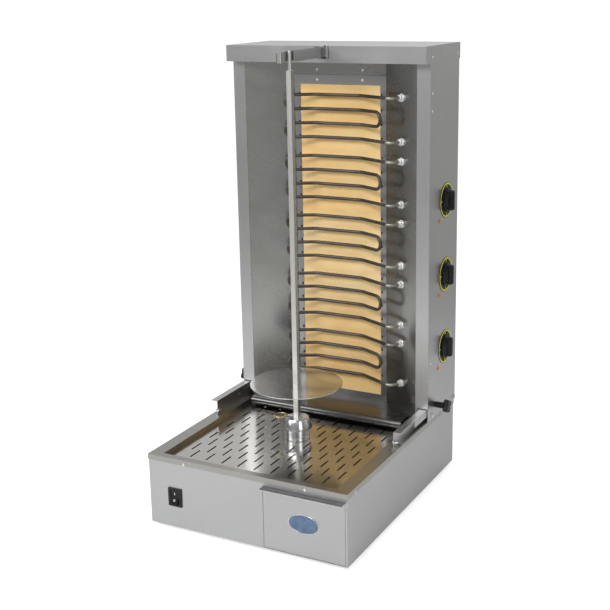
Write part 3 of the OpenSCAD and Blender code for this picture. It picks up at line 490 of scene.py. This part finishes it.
def joined(*parts):
    """Several (points, faces, marks) as one."""
    points, faces, marks = [], [], []
    for p, f, m in parts:
        k = len(points)
        points += p
        faces += [tuple(i + k for i in face) for face in f]
        marks += m
    return points, faces, marks


def placed(part, matrix):
    p, f, m = part
    if matrix.determinant() < 0:
        f = [tuple(reversed(face)) for face in f]
    return [matrix @ Vector(v) for v in p], f, m


def lathe(profile, sides=64, mark=0):
    """Turns (radius, height) points round +Z. A profile from the axis to the axis closes it."""
    points, faces = [], []
    rows = []
    for r, z in profile:
        if r < 1e-9:
            rows.append([len(points)])
            points.append(Vector((0, 0, z)))
        else:
            rows.append(list(range(len(points), len(points) + sides)))
            points += [Vector((r * math.cos(2 * math.pi * k / sides), r * math.sin(2 * math.pi * k / sides), z))
                       for k in range(sides)]
    for a, b in zip(rows, rows[1:]):
        for k in range(sides):
            k2 = (k + 1) % sides
            if len(a) == 1 and len(b) == 1:
                continue
            if len(a) == 1:
                faces.append((a[0], b[k2], b[k]))
            elif len(b) == 1:
                faces.append((a[k], a[k2], b[0]))
            else:
                faces.append((a[k], a[k2], b[k2], b[k]))
    return points, faces, [mark] * len(faces)


def stack(outlines, mark=0):
    """Closed skin through outlines of equal length, capped at both ends."""
    n = len(outlines[0])
    points = [Vector(p) for o in outlines for p in o]
    faces = []
    for i in range(len(outlines) - 1):
        for k in range(n):
            k2 = (k + 1) % n
            faces.append((i * n + k, i * n + k2, (i + 1) * n + k2, (i + 1) * n + k))
    faces.append(tuple(reversed(range(n))))
    faces.append(tuple(range((len(outlines) - 1) * n, len(outlines) * n)))
    return points, faces, [mark] * len(faces)


def cuboid(low, high, mark=0):
    a, b = low, high
    outline = [(a[0], a[1]), (b[0], a[1]), (b[0], b[1]), (a[0], b[1])]
    return stack([[(x, y, z) for x, y in outline] for z in (a[2], b[2])], mark)


def tube(path, radius, sides=18, closed=False, mark=0, mark_at=None):
    """A round tube along a path, its rings carried along without twist."""
    n = len(path)
    path = [Vector(p) for p in path]
    points, faces, marks = [], [], []
    before = None
    for i, p in enumerate(path):
        a = path[(i - 1) % n] if closed else path[max(i - 1, 0)]
        b = path[(i + 1) % n] if closed else path[min(i + 1, n - 1)]
        t = (b - a).normalized()
        if before is None:
            side = t.cross(Vector((0, 0, 1)))
            if side.length < 1e-3:
                side = t.cross(Vector((0, 1, 0)))
            side.normalize()
        else:
            side = (before - before.dot(t) * t).normalized()
        before = side
        other = t.cross(side)
        points += [p + radius * (math.cos(2 * math.pi * k / sides) * side + math.sin(2 * math.pi * k / sides) * other)
                   for k in range(sides)]
    steps = n if closed else n - 1
    for i in range(steps):
        j = (i + 1) % n
        m = mark_at(i) if mark_at else mark
        for k in range(sides):
            k2 = (k + 1) % sides
            faces.append((i * sides + k, i * sides + k2, j * sides + k2, j * sides + k))
            marks.append(m)
    if not closed:
        faces.append(tuple(reversed(range(sides))))
        faces.append(tuple(range((n - 1) * sides, n * sides)))
        marks += [marks[0], marks[-1]]
    return points, faces, marks


def look_along(direction, at, spin=0.0):
    """A matrix that carries +Z to a direction and the origin to a point."""
    q = Vector(direction).normalized().to_track_quat("Z", "Y").to_matrix().to_4x4()
    return Matrix.Translation(Vector(at)) @ q @ Matrix.Rotation(spin, 4, "Z")


def centre_of(low, high):
    return (low + high) / 2


# ---------------------------------------------------------------- small hardware

def screw_part(head_d, head_h, shank_d, shank):
    """A pan-head screw with a cross recess, head up, its seat on z = 0."""
    r = head_d / 2
    solid = bmesh.new()
    profile = [(0, -shank), (shank_d / 2, -shank), (shank_d / 2, 0), (r, 0), (r, head_h * 0.35),
               (r * 0.92, head_h * 0.62), (r * 0.72, head_h * 0.86), (r * 0.4, head_h * 0.97), (0, head_h)]
    body = build("screw_body", lathe(profile, 24))
    arm, w = r * 0.55, r * 0.14
    deep, top = head_h * 0.25, head_h * 1.3
    plus = build("screw_cross", joined(
        cuboid((-arm, -w, deep), (arm, w, top)), cuboid((-w, -arm, deep * 1.01), (w, arm, top * 1.01))))
    a = bpy.data.objects.new("screw_body", body)
    b = bpy.data.objects.new("screw_cross", plus)
    for o in (a, b):
        bpy.context.scene.collection.objects.link(o)
    m = a.modifiers.new("cut", "BOOLEAN")
    m.operation = "DIFFERENCE"
    m.object = b
    m.solver = "EXACT"
    m.use_self = True
    bpy.context.view_layer.update()
    dg = bpy.context.evaluated_depsgraph_get()
    cut = bpy.data.meshes.new_from_object(a.evaluated_get(dg))
    solid.from_mesh(cut)
    bmesh.ops.remove_doubles(solid, verts=solid.verts, dist=1e-7)
    solid.verts.index_update()
    part = ([v.co.copy() for v in solid.verts], [tuple(v.index for v in f.verts) for f in solid.faces],
            [0] * len(solid.faces))
    solid.free()
    for o, me in ((a, body), (b, plus)):
        bpy.data.objects.remove(o)
        bpy.data.meshes.remove(me)
    bpy.data.meshes.remove(cut)
    return part


def mark_sharp(mesh, angle=32):
    bm = bmesh.new()
    bm.from_mesh(mesh)
    for e in bm.edges:
        e.smooth = not (len(e.link_faces) == 2 and e.calc_face_angle(0.0) > math.radians(angle))
    bm.to_mesh(mesh)
    bm.free()
    return mesh


def put(name, part, body, materials, replaces=(), sharp=32):
    return add_object(name, mark_sharp(build(name, part), sharp), body, materials, replaces)


SHEET = 0.0012
TOWER_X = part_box("right_column")[1].x
BASE_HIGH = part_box("top_frame")[1]
SCREW = screw_part(0.0064, 0.0015, 0.003, 0.0030)


def piece_boxes(node):
    """The box of each separate piece of a node."""
    bm = bmesh.new()
    bm.from_mesh(frame["nodes"][node].data)
    bmesh.ops.remove_doubles(bm, verts=bm.verts, dist=2e-6)
    seen, out = set(), []
    for v in bm.verts:
        if v in seen:
            continue
        pile, todo = [], [v]
        seen.add(v)
        while todo:
            w = todo.pop()
            pile.append(w.co.copy())
            for e in w.link_edges:
                u = e.other_vert(w)
                if u not in seen:
                    seen.add(u)
                    todo.append(u)
        low = Vector(min(p[i] for p in pile) for i in range(3))
        high = Vector(max(p[i] for p in pile) for i in range(3))
        out.append((low, high))
    bm.free()
    return out


def screws_from(node, name):
    """Cross-head screws where the CAD has plain heads, facing the way their heads stand."""
    parts = []
    for low, high in piece_boxes(node):
        size = high - low
        mid = centre_of(low, high)
        thin = min(range(3), key=lambda i: abs(size[i] - 0.0051) if abs(size[i] - 0.0064) > 3e-4 else 9)
        way = Vector((0, 0, 0))
        if thin == 0:
            way.x = 1 if mid.x > 0 else -1
            seat = Vector(((high.x if mid.x > 0 else low.x) - way.x * 0.0015, mid.y, mid.z))
        else:
            way.y = -1
            seat = Vector((mid.x, low.y + 0.0015, mid.z))
        spin = 0.3 + 1.7 * ((mid.x * 31 + mid.y * 17 + mid.z * 13) % 1.0)
        shank = size[thin] - 0.0015
        fit = Matrix.Diagonal((1, 1, min(1.0, shank / 0.003), 1))
        parts.append(placed(SCREW, look_along(way, seat, spin) @ (fit if shank < 0.003 else Matrix.Identity(4))))
    put(name, joined(*parts), BODY[node], ["bright_zinc"], [node])


screws_from("skirt_screws", "skirt_screw_heads")
screws_from("tower_screws", "tower_screw_heads")

# ---------------------------------------------------------------- sheet metal and plain CAD pieces

LOOKS = {
    "base_housing": ("steel_x", 0.0003), "base_rear_panel": ("steel_x", 0.0003),
    "base_floor": ("galvanised", 0.0003), "top_frame": ("steel_rim", 0.0005),
    "drip_tray": ("mirror", 0.0003), "fat_collector": ("collector_painted_shade", 0.0003),
    "drawer_runners": ("galvanised", 0.0003), "drawer_box": ("steel_inner_painted_shade", 0.0003),
    "left_rail": ("steel_y", 0.0004), "right_rail": ("steel_y", 0.0004),
    "rail_fasteners": ("zinc", 0.0004), "motor_bracket": ("galvanised", 0.0005),
    "gear_motor": ("paint", 0.0015), "shaft_bush": ("bronze", 0.0004), "motor_shaft": ("steel_bar", 0.0005),
    "drive_hub": ("turned", 0.0006), "terminal_block": ("block", 0.0006),
    "spit_bar": ("steel_bar", 0.0009), "spit_disc": ("disc", 0.0005),
    "left_column": ("steel_z", 0.0004), "right_column": ("steel_z", 0.0004),
    "tower_rear_panel": ("steel_z", 0.0003), "top_cap": ("steel_cap", 0.0005),
    "tower_ceiling": ("steel_inner_painted_shade", 0.0003), "left_reflector": ("steel_inner_painted_shade", 0.0003),
    "right_reflector": ("steel_inner_painted_shade", 0.0003), "refractory_frame": ("steel_frame", 0.0003),
    "refractory_panel": ("refractory", 0.0010), "insulation_blanket": ("wool", 0.0040),
    "drip_lip": ("pan_painted_shade", 0.0004), "front_left_roller": ("zinc", 0.0008), "front_right_roller": ("zinc", 0.0008),
    "rear_left_roller": ("zinc", 0.0008), "rear_right_roller": ("zinc", 0.0008),
    "arm_pivot_pin": ("zinc", 0.0006), "support_arm": ("steel_y", 0.0004),
    "rotary_switches": ("black_matt", 0.0010), "feet": ("rubber", 0.0012),
}
for node, (material, bevel) in LOOKS.items():
    from_cad(node, material, bevel)

drawer = from_cad("drawer_front", "steel_x", 0.0005)
drawer.data.materials.append(MAT["steel_painted_shade"])
for face in drawer.data.polygons:
    if face.normal.z > 0.7:  # painted shade: the top face of the pull lip is given a dark steel
        face.material_index = 1

# ---------------------------------------------------------------- heating elements

COLUMN_X = 0.224
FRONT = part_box("right_column")[0].y
FRAME_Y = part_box("refractory_frame")[0].y
FRAME_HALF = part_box("refractory_frame")[1].x
RUN_HALF, LOOP_HALF, LOOP_R, RUN_PITCH = 0.062, 0.125, 0.017, 0.034
WING = math.radians(26.9)
TUBE_R = 0.004
bay = Vector((COLUMN_X - FRAME_HALF, FRAME_Y - FRONT - SHEET))
nut_xy = Vector((COLUMN_X - 0.49 * bay.x, FRONT + SHEET + 0.49 * bay.y))
normal = Vector((bay.y, bay.x)).normalized()
wing_dir = Vector((math.cos(WING), -math.sin(WING)))
run_y = FRAME_Y - 0.012
bend_at = Vector((RUN_HALF, run_y))
wing_end = Vector((LOOP_HALF - LOOP_R * wing_dir.x,
                   run_y + wing_dir.y * ((LOOP_HALF - RUN_HALF) / wing_dir.x - LOOP_R)))
to_nut = nut_xy - bend_at
along_normal = (to_nut.x * wing_dir.y - to_nut.y * wing_dir.x) / (normal.x * wing_dir.y - normal.y * wing_dir.x)
corner = nut_xy - normal * along_normal


def filleted(points, radii, steps=7):
    """A polyline whose corners are arcs of the given radii."""
    out = [points[0]]
    for i in range(1, len(points) - 1):
        p, r = points[i], radii[i]
        a, b = (points[i - 1] - p).normalized(), (points[i + 1] - p).normalized()
        half = math.acos(max(-1, min(1, a.dot(b)))) / 2
        cut = r / math.tan(half)
        middle = p + (a + b).normalized() * (r / math.sin(half))
        s, e = p + a * cut - middle, p + b * cut - middle
        turn = math.acos(max(-1, min(1, s.dot(e) / r / r)))
        for k in range(steps + 1):
            t = k / steps
            out.append(middle + (math.sin((1 - t) * turn) * s + math.sin(t * turn) * e) / math.sin(turn))
    out.append(points[-1])
    return out


def at_height(points, z):
    return [Vector((p.x, p.y, z)) for p in points]


def element_path(top):
    left = lambda v: Vector((-v.x, v.y))
    end = nut_xy + normal * 0.020
    terminal = filleted([end, corner, bend_at, left(bend_at), left(wing_end)], [0, 0.014, 0.030, 0.030, 0])
    plain = filleted([left(wing_end), left(bend_at), bend_at, wing_end], [0, 0.030, 0.030, 0])

    def loop(side, z, steps=14):
        out = []
        for k in range(1, steps):
            a = math.pi * k / steps
            o = wing_end + wing_dir * (LOOP_R * math.sin(a))
            out.append(Vector((side * o.x, o.y, z + LOOP_R * math.cos(a))))
        return out
    return (at_height(terminal, top) + loop(-1, top - LOOP_R) + at_height(plain, top - RUN_PITCH)
            + loop(1, top - 3 * LOOP_R) + at_height(reversed(plain), top - 2 * RUN_PITCH)
            + loop(-1, top - 5 * LOOP_R) + at_height(reversed(terminal), top - 3 * RUN_PITCH))


for k in range(5):
    node = "heating_element_%d" % (k + 1)
    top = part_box(node)[1].z - TUBE_R
    path = element_path(top)
    last = len(path) - 1
    put(node + "_tube", tube(path, TUBE_R, 18, mark_at=lambda i: 1 if i < 8 or i > last - 9 else 0),
        BODY[node], ["element", "sleeve"], [node])


def hex_nut(flats, height, bore):
    """A chamfered hexagon nut standing on z = 0, with a raised washer face."""
    n = 48
    outlines = []
    for r_kind, z in (("bore", 0), ("face", 0), ("hex", 0), ("hex", 1), ("face", 1), ("bore", 1)):
        ring = []
        for k in range(n):
            a = 2 * math.pi * k / n
            hexr = flats / 2 / math.cos((a + math.pi / 6) % (math.pi / 3) - math.pi / 6)
            face = flats / 2 * 0.96
            drop = (hexr - face) * 0.6
            r = {"bore": bore / 2, "face": face, "hex": hexr}[r_kind]
            zz = z * height
            if r_kind == "hex":
                zz = drop if z == 0 else height - drop
            ring.append(Vector((r * math.cos(a), r * math.sin(a), zz)))
        outlines.append(ring)
    points = [p for o in outlines for p in o]
    faces = []
    for i in range(len(outlines)):
        j = (i + 1) % len(outlines)
        for k in range(n):
            k2 = (k + 1) % n
            faces.append((i * n + k, i * n + k2, j * n + k2, j * n + k))
    return points, faces, [0] * len(faces)


def flipped(part):
    p, f, m = part
    return p, [tuple(reversed(face)) for face in f], m


NUT = joined(
    placed(flipped(hex_nut(0.014, 0.007, 2 * TUBE_R + 0.0001)), Matrix.Translation((0, 0, 0.0015))),
    lathe([(0.0041, 0), (0.0093, 0), (0.0095, 0.0003), (0.0095, 0.0011), (0.0091, 0.0015), (0.0041, 0.0015)], 40))
inward = Vector((-normal.x, -normal.y, 0))
nut_parts = []
for k in range(5):
    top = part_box("heating_element_%d" % (k + 1))[1].z - TUBE_R
    for z in (top, top - 3 * RUN_PITCH):
        nut_parts.append(placed(NUT, look_along(inward, (nut_xy.x, nut_xy.y, z), 0.4 + k)))
put("element_terminal_nuts", joined(*nut_parts), BODY["element_nuts"], ["bright_zinc"],
    ["element_nuts"], sharp=20)

# ---------------------------------------------------------------- spit clip

low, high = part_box("spit_clip")
wire_r, ring_r = 0.0015, 0.015
mid_y, mid_z = (low.y + high.y) / 2, (low.z + high.z) / 2
ring_x = low.x + ring_r + wire_r
ring = [(ring_x + ring_r * math.cos(2 * math.pi * k / 48), mid_y + ring_r * math.sin(2 * math.pi * k / 48), mid_z)
        for k in range(48)]
pin_x0 = ring_x + ring_r - 0.001
pin = placed(lathe([(0, 0), (0.0016, 0), (0.002, 0.0008), (0.002, high.x - pin_x0 - 0.0022),
                    (0.0012, high.x - pin_x0 - 0.0002), (0, high.x - pin_x0)], 20),
             look_along((1, 0, 0), (pin_x0, mid_y, mid_z)))
collar = placed(lathe([(0, 0), (0.0019, 0), (0.00195, 0.0012), (0.0019, 0.003), (0, 0.003)], 20),
                look_along((1, 0, 0), (pin_x0 - 0.0012, mid_y, mid_z)))
put("spit_clip_wire", joined(tube(ring, wire_r, 14, closed=True), pin, collar), BODY["spit_clip"],
    ["yellow_zinc"], ["spit_clip"])

# ---------------------------------------------------------------- controls

KNOB_NODES = ("bottom_knob", "middle_knob", "top_knob")
dial_y = centre_of(*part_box("top_knob")).y
dial_z = [centre_of(*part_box(k)).z for k in KNOB_NODES]
dial_r = (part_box("dial_plates")[1].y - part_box("dial_plates")[0].y) / 2
dial_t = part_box("dial_plates")[1].x - TOWER_X
to_side = Matrix(((0, 0, 1, 0), (1, 0, 0, 0), (0, 1, 0, 0), (0, 0, 0, 1)))   # x to +Y, y to +Z, z to +X


def side_at(z, x=TOWER_X):
    return Matrix.Translation((x, dial_y, z)) @ to_side


def annulus(r0, r1, z0, z1, sides=96, mark=0):
    return lathe([(r0, z0), (r1, z0), (r1, z1), (r0, z1), (r0, z0)], sides, mark)


def arc_mark(r0, r1, a, wide, z0, z1, mark):
    c, s = math.cos(a), math.sin(a)
    turn = Matrix(((c, -s, 0, 0), (s, c, 0, 0), (0, 0, 1, 0), (0, 0, 0, 1)))
    return placed(cuboid((r0, -wide / 2, z0), (r1, wide / 2, z1), mark), turn)


def dial_part():
    r, t = dial_r, dial_t
    plate = lathe([(0.0045, 0), (r, 0), (r, t * 0.6), (r - 0.0004, t * 0.85), (0.0045, t * 0.85), (0.0045, 0)], 96)
    parts = [plate, annulus(r - 0.0046, r - 0.0010, t * 0.8, t, mark=1)]
    for deg in (90, 180, 270):
        parts.append(arc_mark(r - 0.0120, r - 0.0036, math.radians(deg), 0.0026, t * 0.8, t * 0.99, 1))
    return joined(*parts)


DIAL = dial_part()
put("dial_faces", joined(*[placed(DIAL, side_at(z)) for z in dial_z]), BODY["dial_plates"],
    ["black_matt", "yellow"], ["dial_plates"])


def knob_part():
    """Skirted knob with a tapered grip bar and a pointer line; z = 0 is the column face."""
    low_x, high_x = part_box("top_knob")
    reach = high_x.x - TOWER_X
    r = (high_x.y - low_x.y) / 2
    base = dial_t + 0.0003
    profile = [(0, -0.008), (0.003, -0.008), (0.003, base), (r - 0.0006, base), (r, base + 0.0008),
               (r, base + 0.0032), (r - 0.0008, base + 0.0045), (r - 0.0022, base + 0.005),
               (r - 0.0075, base + 0.0056), (r - 0.0083, base + 0.0072), (r - 0.0092, base + 0.0088),
               (r - 0.0110, base + 0.0094), (0, base + 0.0096)]
    skirt = lathe(profile, 96)
    outlines = []
    for z, half, long in ((base + 0.003, 0.0078, 0.95), (base + 0.010, 0.0074, 0.94),
                          (reach - 0.0035, 0.0064, 0.90), (reach - 0.0010, 0.0057, 0.87), (reach, 0.0042, 0.82)):
        ring = []
        n = 40
        for k in range(n):
            a = 2 * math.pi * k / n
            c, s = math.cos(a), math.sin(a)
            power = 0.30
            x = half * math.copysign(abs(c) ** power, c)
            y = r * long * math.copysign(abs(s) ** power, s)
            limit = r * long
            d = math.hypot(x, y)
            if d > limit:
                x, y = x * limit / d, y * limit / d
            ring.append((x, y, z))
        outlines.append(ring)
    grip = stack(outlines)
    line = cuboid((-0.0006, r * 0.30, reach - 0.0003), (0.0006, r * 0.80, reach), 1)
    return joined(skirt, grip, line)


KNOB = knob_part()
for node, z in zip(KNOB_NODES, dial_z):
    put(node + "_grip", placed(KNOB, side_at(z)), BODY[node], ["black", "white"], [node], sharp=40)

lamp_low, lamp_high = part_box("indicator_lamps")
lamp_y = (lamp_low.y + lamp_high.y) / 2
LENS_TO_BORE = 0.70  # radius of the lens as a share of the bore's width, so that it laps over the bore
lamp_r = (lamp_high.y - lamp_low.y) * LENS_TO_BORE
lamp_parts = []
for z in dial_z:
    lens = joined(
        lathe([(0, -0.014), (lamp_r * 0.75, -0.014), (lamp_r * 0.75, 0), (lamp_r, 0), (lamp_r, 0.0007),
               (lamp_r * 0.94, 0.0010), (lamp_r * 0.86, 0.0010), (lamp_r * 0.84, 0.0012), (lamp_r * 0.70, 0.0016),
               (lamp_r * 0.45, 0.0019), (0, 0.0020)], 32))
    lamp_parts.append(placed(lens, Matrix.Translation((TOWER_X, lamp_y, z - 0.0435)) @ to_side))
put("lamp_lenses", joined(*lamp_parts), BODY["indicator_lamps"], ["lens"],
    ["indicator_lamps"])


# ---------------------------------------------------------------- clamp knobs

def star_part(reach, r_out, stem_from):
    """Four-lobed knob on a stud; z runs out of the tower side."""
    def outline(scale, z):
        ring = []
        for k in range(96):
            a = 2 * math.pi * k / 96
            lobe = 0.5 + 0.5 * math.cos(4 * a)
            r = r_out * (0.66 + 0.34 * lobe ** 0.8) * scale
            ring.append((r * math.cos(a + 0.35), r * math.sin(a + 0.35), z))
        return ring
    h = 0.012
    z1 = reach
    z0 = reach - h
    star = stack([outline(0.80, z0), outline(0.93, z0 + 0.0010), outline(0.99, z0 + 0.0030),
                  outline(1.0, z0 + 0.0060), outline(0.98, z1 - 0.0030), outline(0.92, z1 - 0.0012),
                  outline(0.80, z1 - 0.0003), outline(0.45, z1)])
    stem = lathe([(0, 0.0010), (0.0066, 0.0010), (0.0075, 0.0018), (0.0075, z0 - 0.004), (0.0085, z0 - 0.0008),
                  (0.0100, z0 + 0.001), (0, z0 + 0.001)], 40)
    turns = int((0.0010 - stem_from) / 0.0006)
    thread = [(0, stem_from)]
    for k in range(turns):
        thread.append((0.0040 if k % 2 else 0.0037, stem_from + k * 0.0006))
    thread += [(0.0037, 0.0012), (0, 0.0012)]
    return joined(star, stem, tuple(lathe(thread, 24, 1)))


for node, sign in (("right_clamp_knob", 1), ("left_clamp_knob", -1)):
    low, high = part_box(node)
    mid = centre_of(low, high)
    reach = max(abs(low.x), abs(high.x)) - TOWER_X
    inner = min(abs(low.x), abs(high.x)) - TOWER_X
    r_out = min(high.y - low.y, high.z - low.z) / 2
    m = Matrix.Diagonal((sign, 1, 1, 1)) @ Matrix.Translation((TOWER_X, mid.y, mid.z)) @ to_side
    put(node + "_star", placed(star_part(reach, r_out, inner), m), BODY[node], ["black", "zinc"],
        [node], sharp=40)

# ---------------------------------------------------------------- roller bolts

low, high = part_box("roller_bolts")
roller_y = [centre_of(*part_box(n)).y for n in ("front_right_roller", "rear_right_roller")]
roller_z = centre_of(*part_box("front_right_roller")).z
bolt_head = joined(
    placed(flipped(hex_nut(0.0095, 0.0040, 0.0001)), Matrix.Translation((0, 0, 0.0005))),
    lathe([(0, 0), (0.0055, 0), (0.0055, 0.0006), (0, 0.0006)], 32),
    lathe([(0, -0.0170), (0.003, -0.0170), (0.003, 0.0003), (0, 0.0003)], 20),
    lathe([(0, -0.0178), (0.0041, -0.0178), (0.0045, -0.0174), (0.0045, -0.0166), (0, -0.0166)], 24))
bolt_parts = []
for sign in (1, -1):
    for y in roller_y:
        m = Matrix.Diagonal((sign, 1, 1, 1)) @ Matrix.Translation((TOWER_X, y, roller_z)) @ to_side
        bolt_parts.append(placed(bolt_head, m))
put("roller_bolt_heads", joined(*bolt_parts), BODY["roller_bolts"], ["zinc"], ["roller_bolts"],
    sharp=20)

# ---------------------------------------------------------------- power switch

low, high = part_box("switch_bezel")
mid = centre_of(low, high)
wall = -BASE_HIGH.y + SHEET
from_cad("switch_bezel", "black", 0.0012, 3)
from_cad("switch_rocker", "black", 0.0006, 3)
pivot = Vector((mid.x, wall + 0.003, mid.z))
tilt = Matrix.Translation(pivot) @ Matrix.Rotation(math.radians(-12), 4, "X")
half = 0.0145
slope = math.atan2(half * math.tan(math.radians(12)), half)
face_low = tilt @ Matrix.Translation((0, -0.005, 0)) @ Matrix.Rotation(-slope, 4, "X")
face_high = tilt @ Matrix.Translation((0, -0.005, 0)) @ Matrix.Rotation(slope, 4, "X")
bar_mark = cuboid((-0.0008, -0.0004, 0.0045), (0.0008, 0.0004, 0.0105))
zero = lathe([(0.0014, -0.0006), (0.0026, -0.0006), (0.0026, 0.0004), (0.0014, 0.0004), (0.0014, -0.0006)], 32)
ring_mark = placed(zero, Matrix.Translation((0, 0.0002, -0.0080)) @ Matrix.Rotation(math.pi / 2, 4, "X"))
put("rocker_marks", joined(placed(bar_mark, face_high), placed(ring_mark, face_low)), BODY["switch_rocker"],
    ["white"])

# ---------------------------------------------------------------- badge: a blank oval

low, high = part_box("badge")
mid = centre_of(low, high)
rx, rz, thick = (high.x - low.x) / 2, (high.z - low.z) / 2, high.y - low.y
oval = (Matrix.Translation((mid.x, high.y, mid.z)) @ Matrix.Rotation(math.pi / 2, 4, "X")
        @ Matrix.Diagonal((rx, rz, 1, 1)))
plate = joined(
    lathe([(0, 0.0), (0.985, 0.0), (1.0, thick * 0.25), (1.0, thick * 0.6), (0.985, thick * 0.95), (0.965, thick),
           (0.945, thick * 0.95), (0.935, thick * 0.7)], 128, 1),
    lathe([(0.935, thick * 0.7), (0.90, thick * 0.74), (0.6, thick * 0.88), (0.3, thick * 0.96), (0, thick)], 128, 0))
put("badge_plate", placed(plate, oval), BODY["badge"], ["badge", "badge_rim"], ["badge"])

# ---------------------------------------------------------------- cable gland

low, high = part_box("cable_gland")
gx, gz = (low.x + high.x) / 2, (low.z + high.z) / 2
back = BASE_HIGH.y - SHEET
reach = high.y - back
ribs = [(0.005, -0.011), (0.008, -0.011), (0.008, -0.0056), (0.011, -0.0056), (0.011, -0.0016), (0.008, -0.0016),
        (0.008, 0.0), (0.0105, 0.0), (0.011, 0.0006), (0.011, 0.0054), (0.0105, 0.006), (0.0088, 0.0062)]
for k in range(5):
    z = 0.0070 + k * 0.0018
    ribs += [(0.0090, z), (0.0090, z + 0.0009), (0.0084, z + 0.0011), (0.0084, z + 0.0016)]
ribs += [(0.0088, reach - 0.0016), (0.0080, reach - 0.0004), (0.0070, reach), (0.0050, reach), (0.0050, -0.011)]
gland = placed(lathe(ribs, 48), Matrix.Translation((gx, back, gz)) @ Matrix.Rotation(-math.pi / 2, 4, "X"))
put("cable_gland_ribs", gland, BODY["cable_gland"], ["black"], ["cable_gland"])

# ---------------------------------------------------------------- floor, light, surroundings


def make_stage():
    floor_mesh = build("floor", lathe([(0, -0.0002), (1.7, -0.0002)], 96))
    floor = bpy.data.objects.new("floor", floor_mesh)
    bpy.context.scene.collection.objects.link(floor)
    n = Nodes("pale_floor")
    n.set(Metallic=0.0, Roughness=0.8)
    n.shader.inputs["Base Color"].default_value = (0.80, 0.80, 0.80, 1)
    n.shader.inputs["Emission Color"].default_value = (1, 1, 1, 1)
    rays = n.tree.nodes.new("ShaderNodeLightPath")
    n.link(n.band(rays.outputs["Is Camera Ray"], 0, 1, 0.08, 0.66), n.shader.inputs["Emission Strength"])
    floor_mesh.materials.append(n.material)


def make_light(name, at, target, size, power, tone=(1, 1, 1)):
    data = bpy.data.lights.new(name, "AREA")
    data.shape = "RECTANGLE"
    data.size, data.size_y = size
    data.energy = power
    data.color = tone
    o = bpy.data.objects.new(name, data)
    bpy.context.scene.collection.objects.link(o)
    o.location = at
    o.rotation_mode = "QUATERNION"
    o.rotation_quaternion = (Vector(at) - Vector(target)).to_track_quat("Z", "Y")


def make_world():
    world = bpy.data.worlds.new("studio")
    bpy.context.scene.world = world
    world.use_nodes = True
    tree = world.node_tree
    tree.nodes.clear()
    new = tree.nodes.new
    out, mix = new("ShaderNodeOutputWorld"), new("ShaderNodeMixShader")
    back, seen = new("ShaderNodeBackground"), new("ShaderNodeBackground")
    rays, place, parts = new("ShaderNodeLightPath"), new("ShaderNodeTexCoord"), new("ShaderNodeSeparateXYZ")
    tree.links.new(place.outputs["Generated"], parts.inputs[0])

    def ramp(source, stops):
        span, r = new("ShaderNodeMapRange"), new("ShaderNodeValToRGB")
        span.inputs["From Min"].default_value = -1
        tree.links.new(source, span.inputs["Value"])
        while len(r.color_ramp.elements) < len(stops):
            r.color_ramp.elements.new(0.5)
        for e, (at, v) in zip(r.color_ramp.elements, stops):
            e.position = (at + 1) / 2
            e.color = (*v, 1)
        tree.links.new(span.outputs["Result"], r.inputs["Fac"])
        return r.outputs["Color"]
    deep = ramp(parts.outputs["Y"], (
        (-1.0, (0.62, 0.62, 0.63)), (-0.75, (0.42, 0.42, 0.425)), (-0.2, (0.28, 0.28, 0.28)),
        (0.3, (0.26, 0.26, 0.255)), (0.7, (0.36, 0.36, 0.355)), (1.0, (0.64, 0.64, 0.635))))
    high = ramp(parts.outputs["Z"], (
        (-1.0, (0.72, 0.72, 0.70)), (-0.05, (0.78, 0.78, 0.76)), (0.15, (1.60, 1.60, 1.60)),
        (1.0, (1.60, 1.60, 1.62))))
    many = new("ShaderNodeMix")
    many.data_type, many.blend_type = "RGBA", "MULTIPLY"
    many.inputs[0].default_value = 1
    tree.links.new(deep, many.inputs[6])
    tree.links.new(high, many.inputs[7])
    dim = ramp(parts.outputs["Z"], ((-0.05, (1, 1, 1)), (0.12, (0.16, 0.16, 0.16)), (0.7, (0.5, 0.5, 0.5))))
    behind = ramp(parts.outputs["Y"], ((-0.2, (0, 0, 0)), (0.35, (1, 1, 1))))
    front, whole = new("ShaderNodeMix"), new("ShaderNodeMix")
    for node in (front, whole):
        node.data_type = "RGBA"
    tree.links.new(behind, front.inputs[0])
    tree.links.new(dim, front.inputs[6])
    front.inputs[7].default_value = (1, 1, 1, 1)
    whole.blend_type = "MULTIPLY"
    whole.inputs[0].default_value = 1
    tree.links.new(many.outputs[2], whole.inputs[6])
    tree.links.new(front.outputs[2], whole.inputs[7])
    tree.links.new(whole.outputs[2], back.inputs["Color"])
    seen.inputs["Color"].default_value = (1, 1, 1, 1)
    seen.inputs["Strength"].default_value = 1.1
    tree.links.new(rays.outputs["Is Camera Ray"], mix.inputs[0])
    tree.links.new(back.outputs[0], mix.inputs[1])
    tree.links.new(seen.outputs[0], mix.inputs[2])
    tree.links.new(mix.outputs[0], out.inputs[0])


make_stage()
make_world()
LIGHTS = (  # name, place, aim, size, watts
    ("key", (-2.2, -2.6, 2.6), (0, 0, 0.5), (1.6, 1.6), 52),
    ("front", (-0.3, -2.5, 2.5), (0, 0, 0.6), (1.4, 1.0), 42),
    ("fill", (2.6, -1.8, 1.4), (0, 0, 0.5), (1.2, 1.8), 13),
    ("top", (0.0, -0.2, 3.2), (0, 0, 0.5), (2.2, 2.2), 22))
for light in LIGHTS:
    make_light(*light)
scene = bpy.context.scene
scene.view_settings.view_transform = "Standard"
scene.view_settings.look = "None"

bpy.context.view_layer.update()
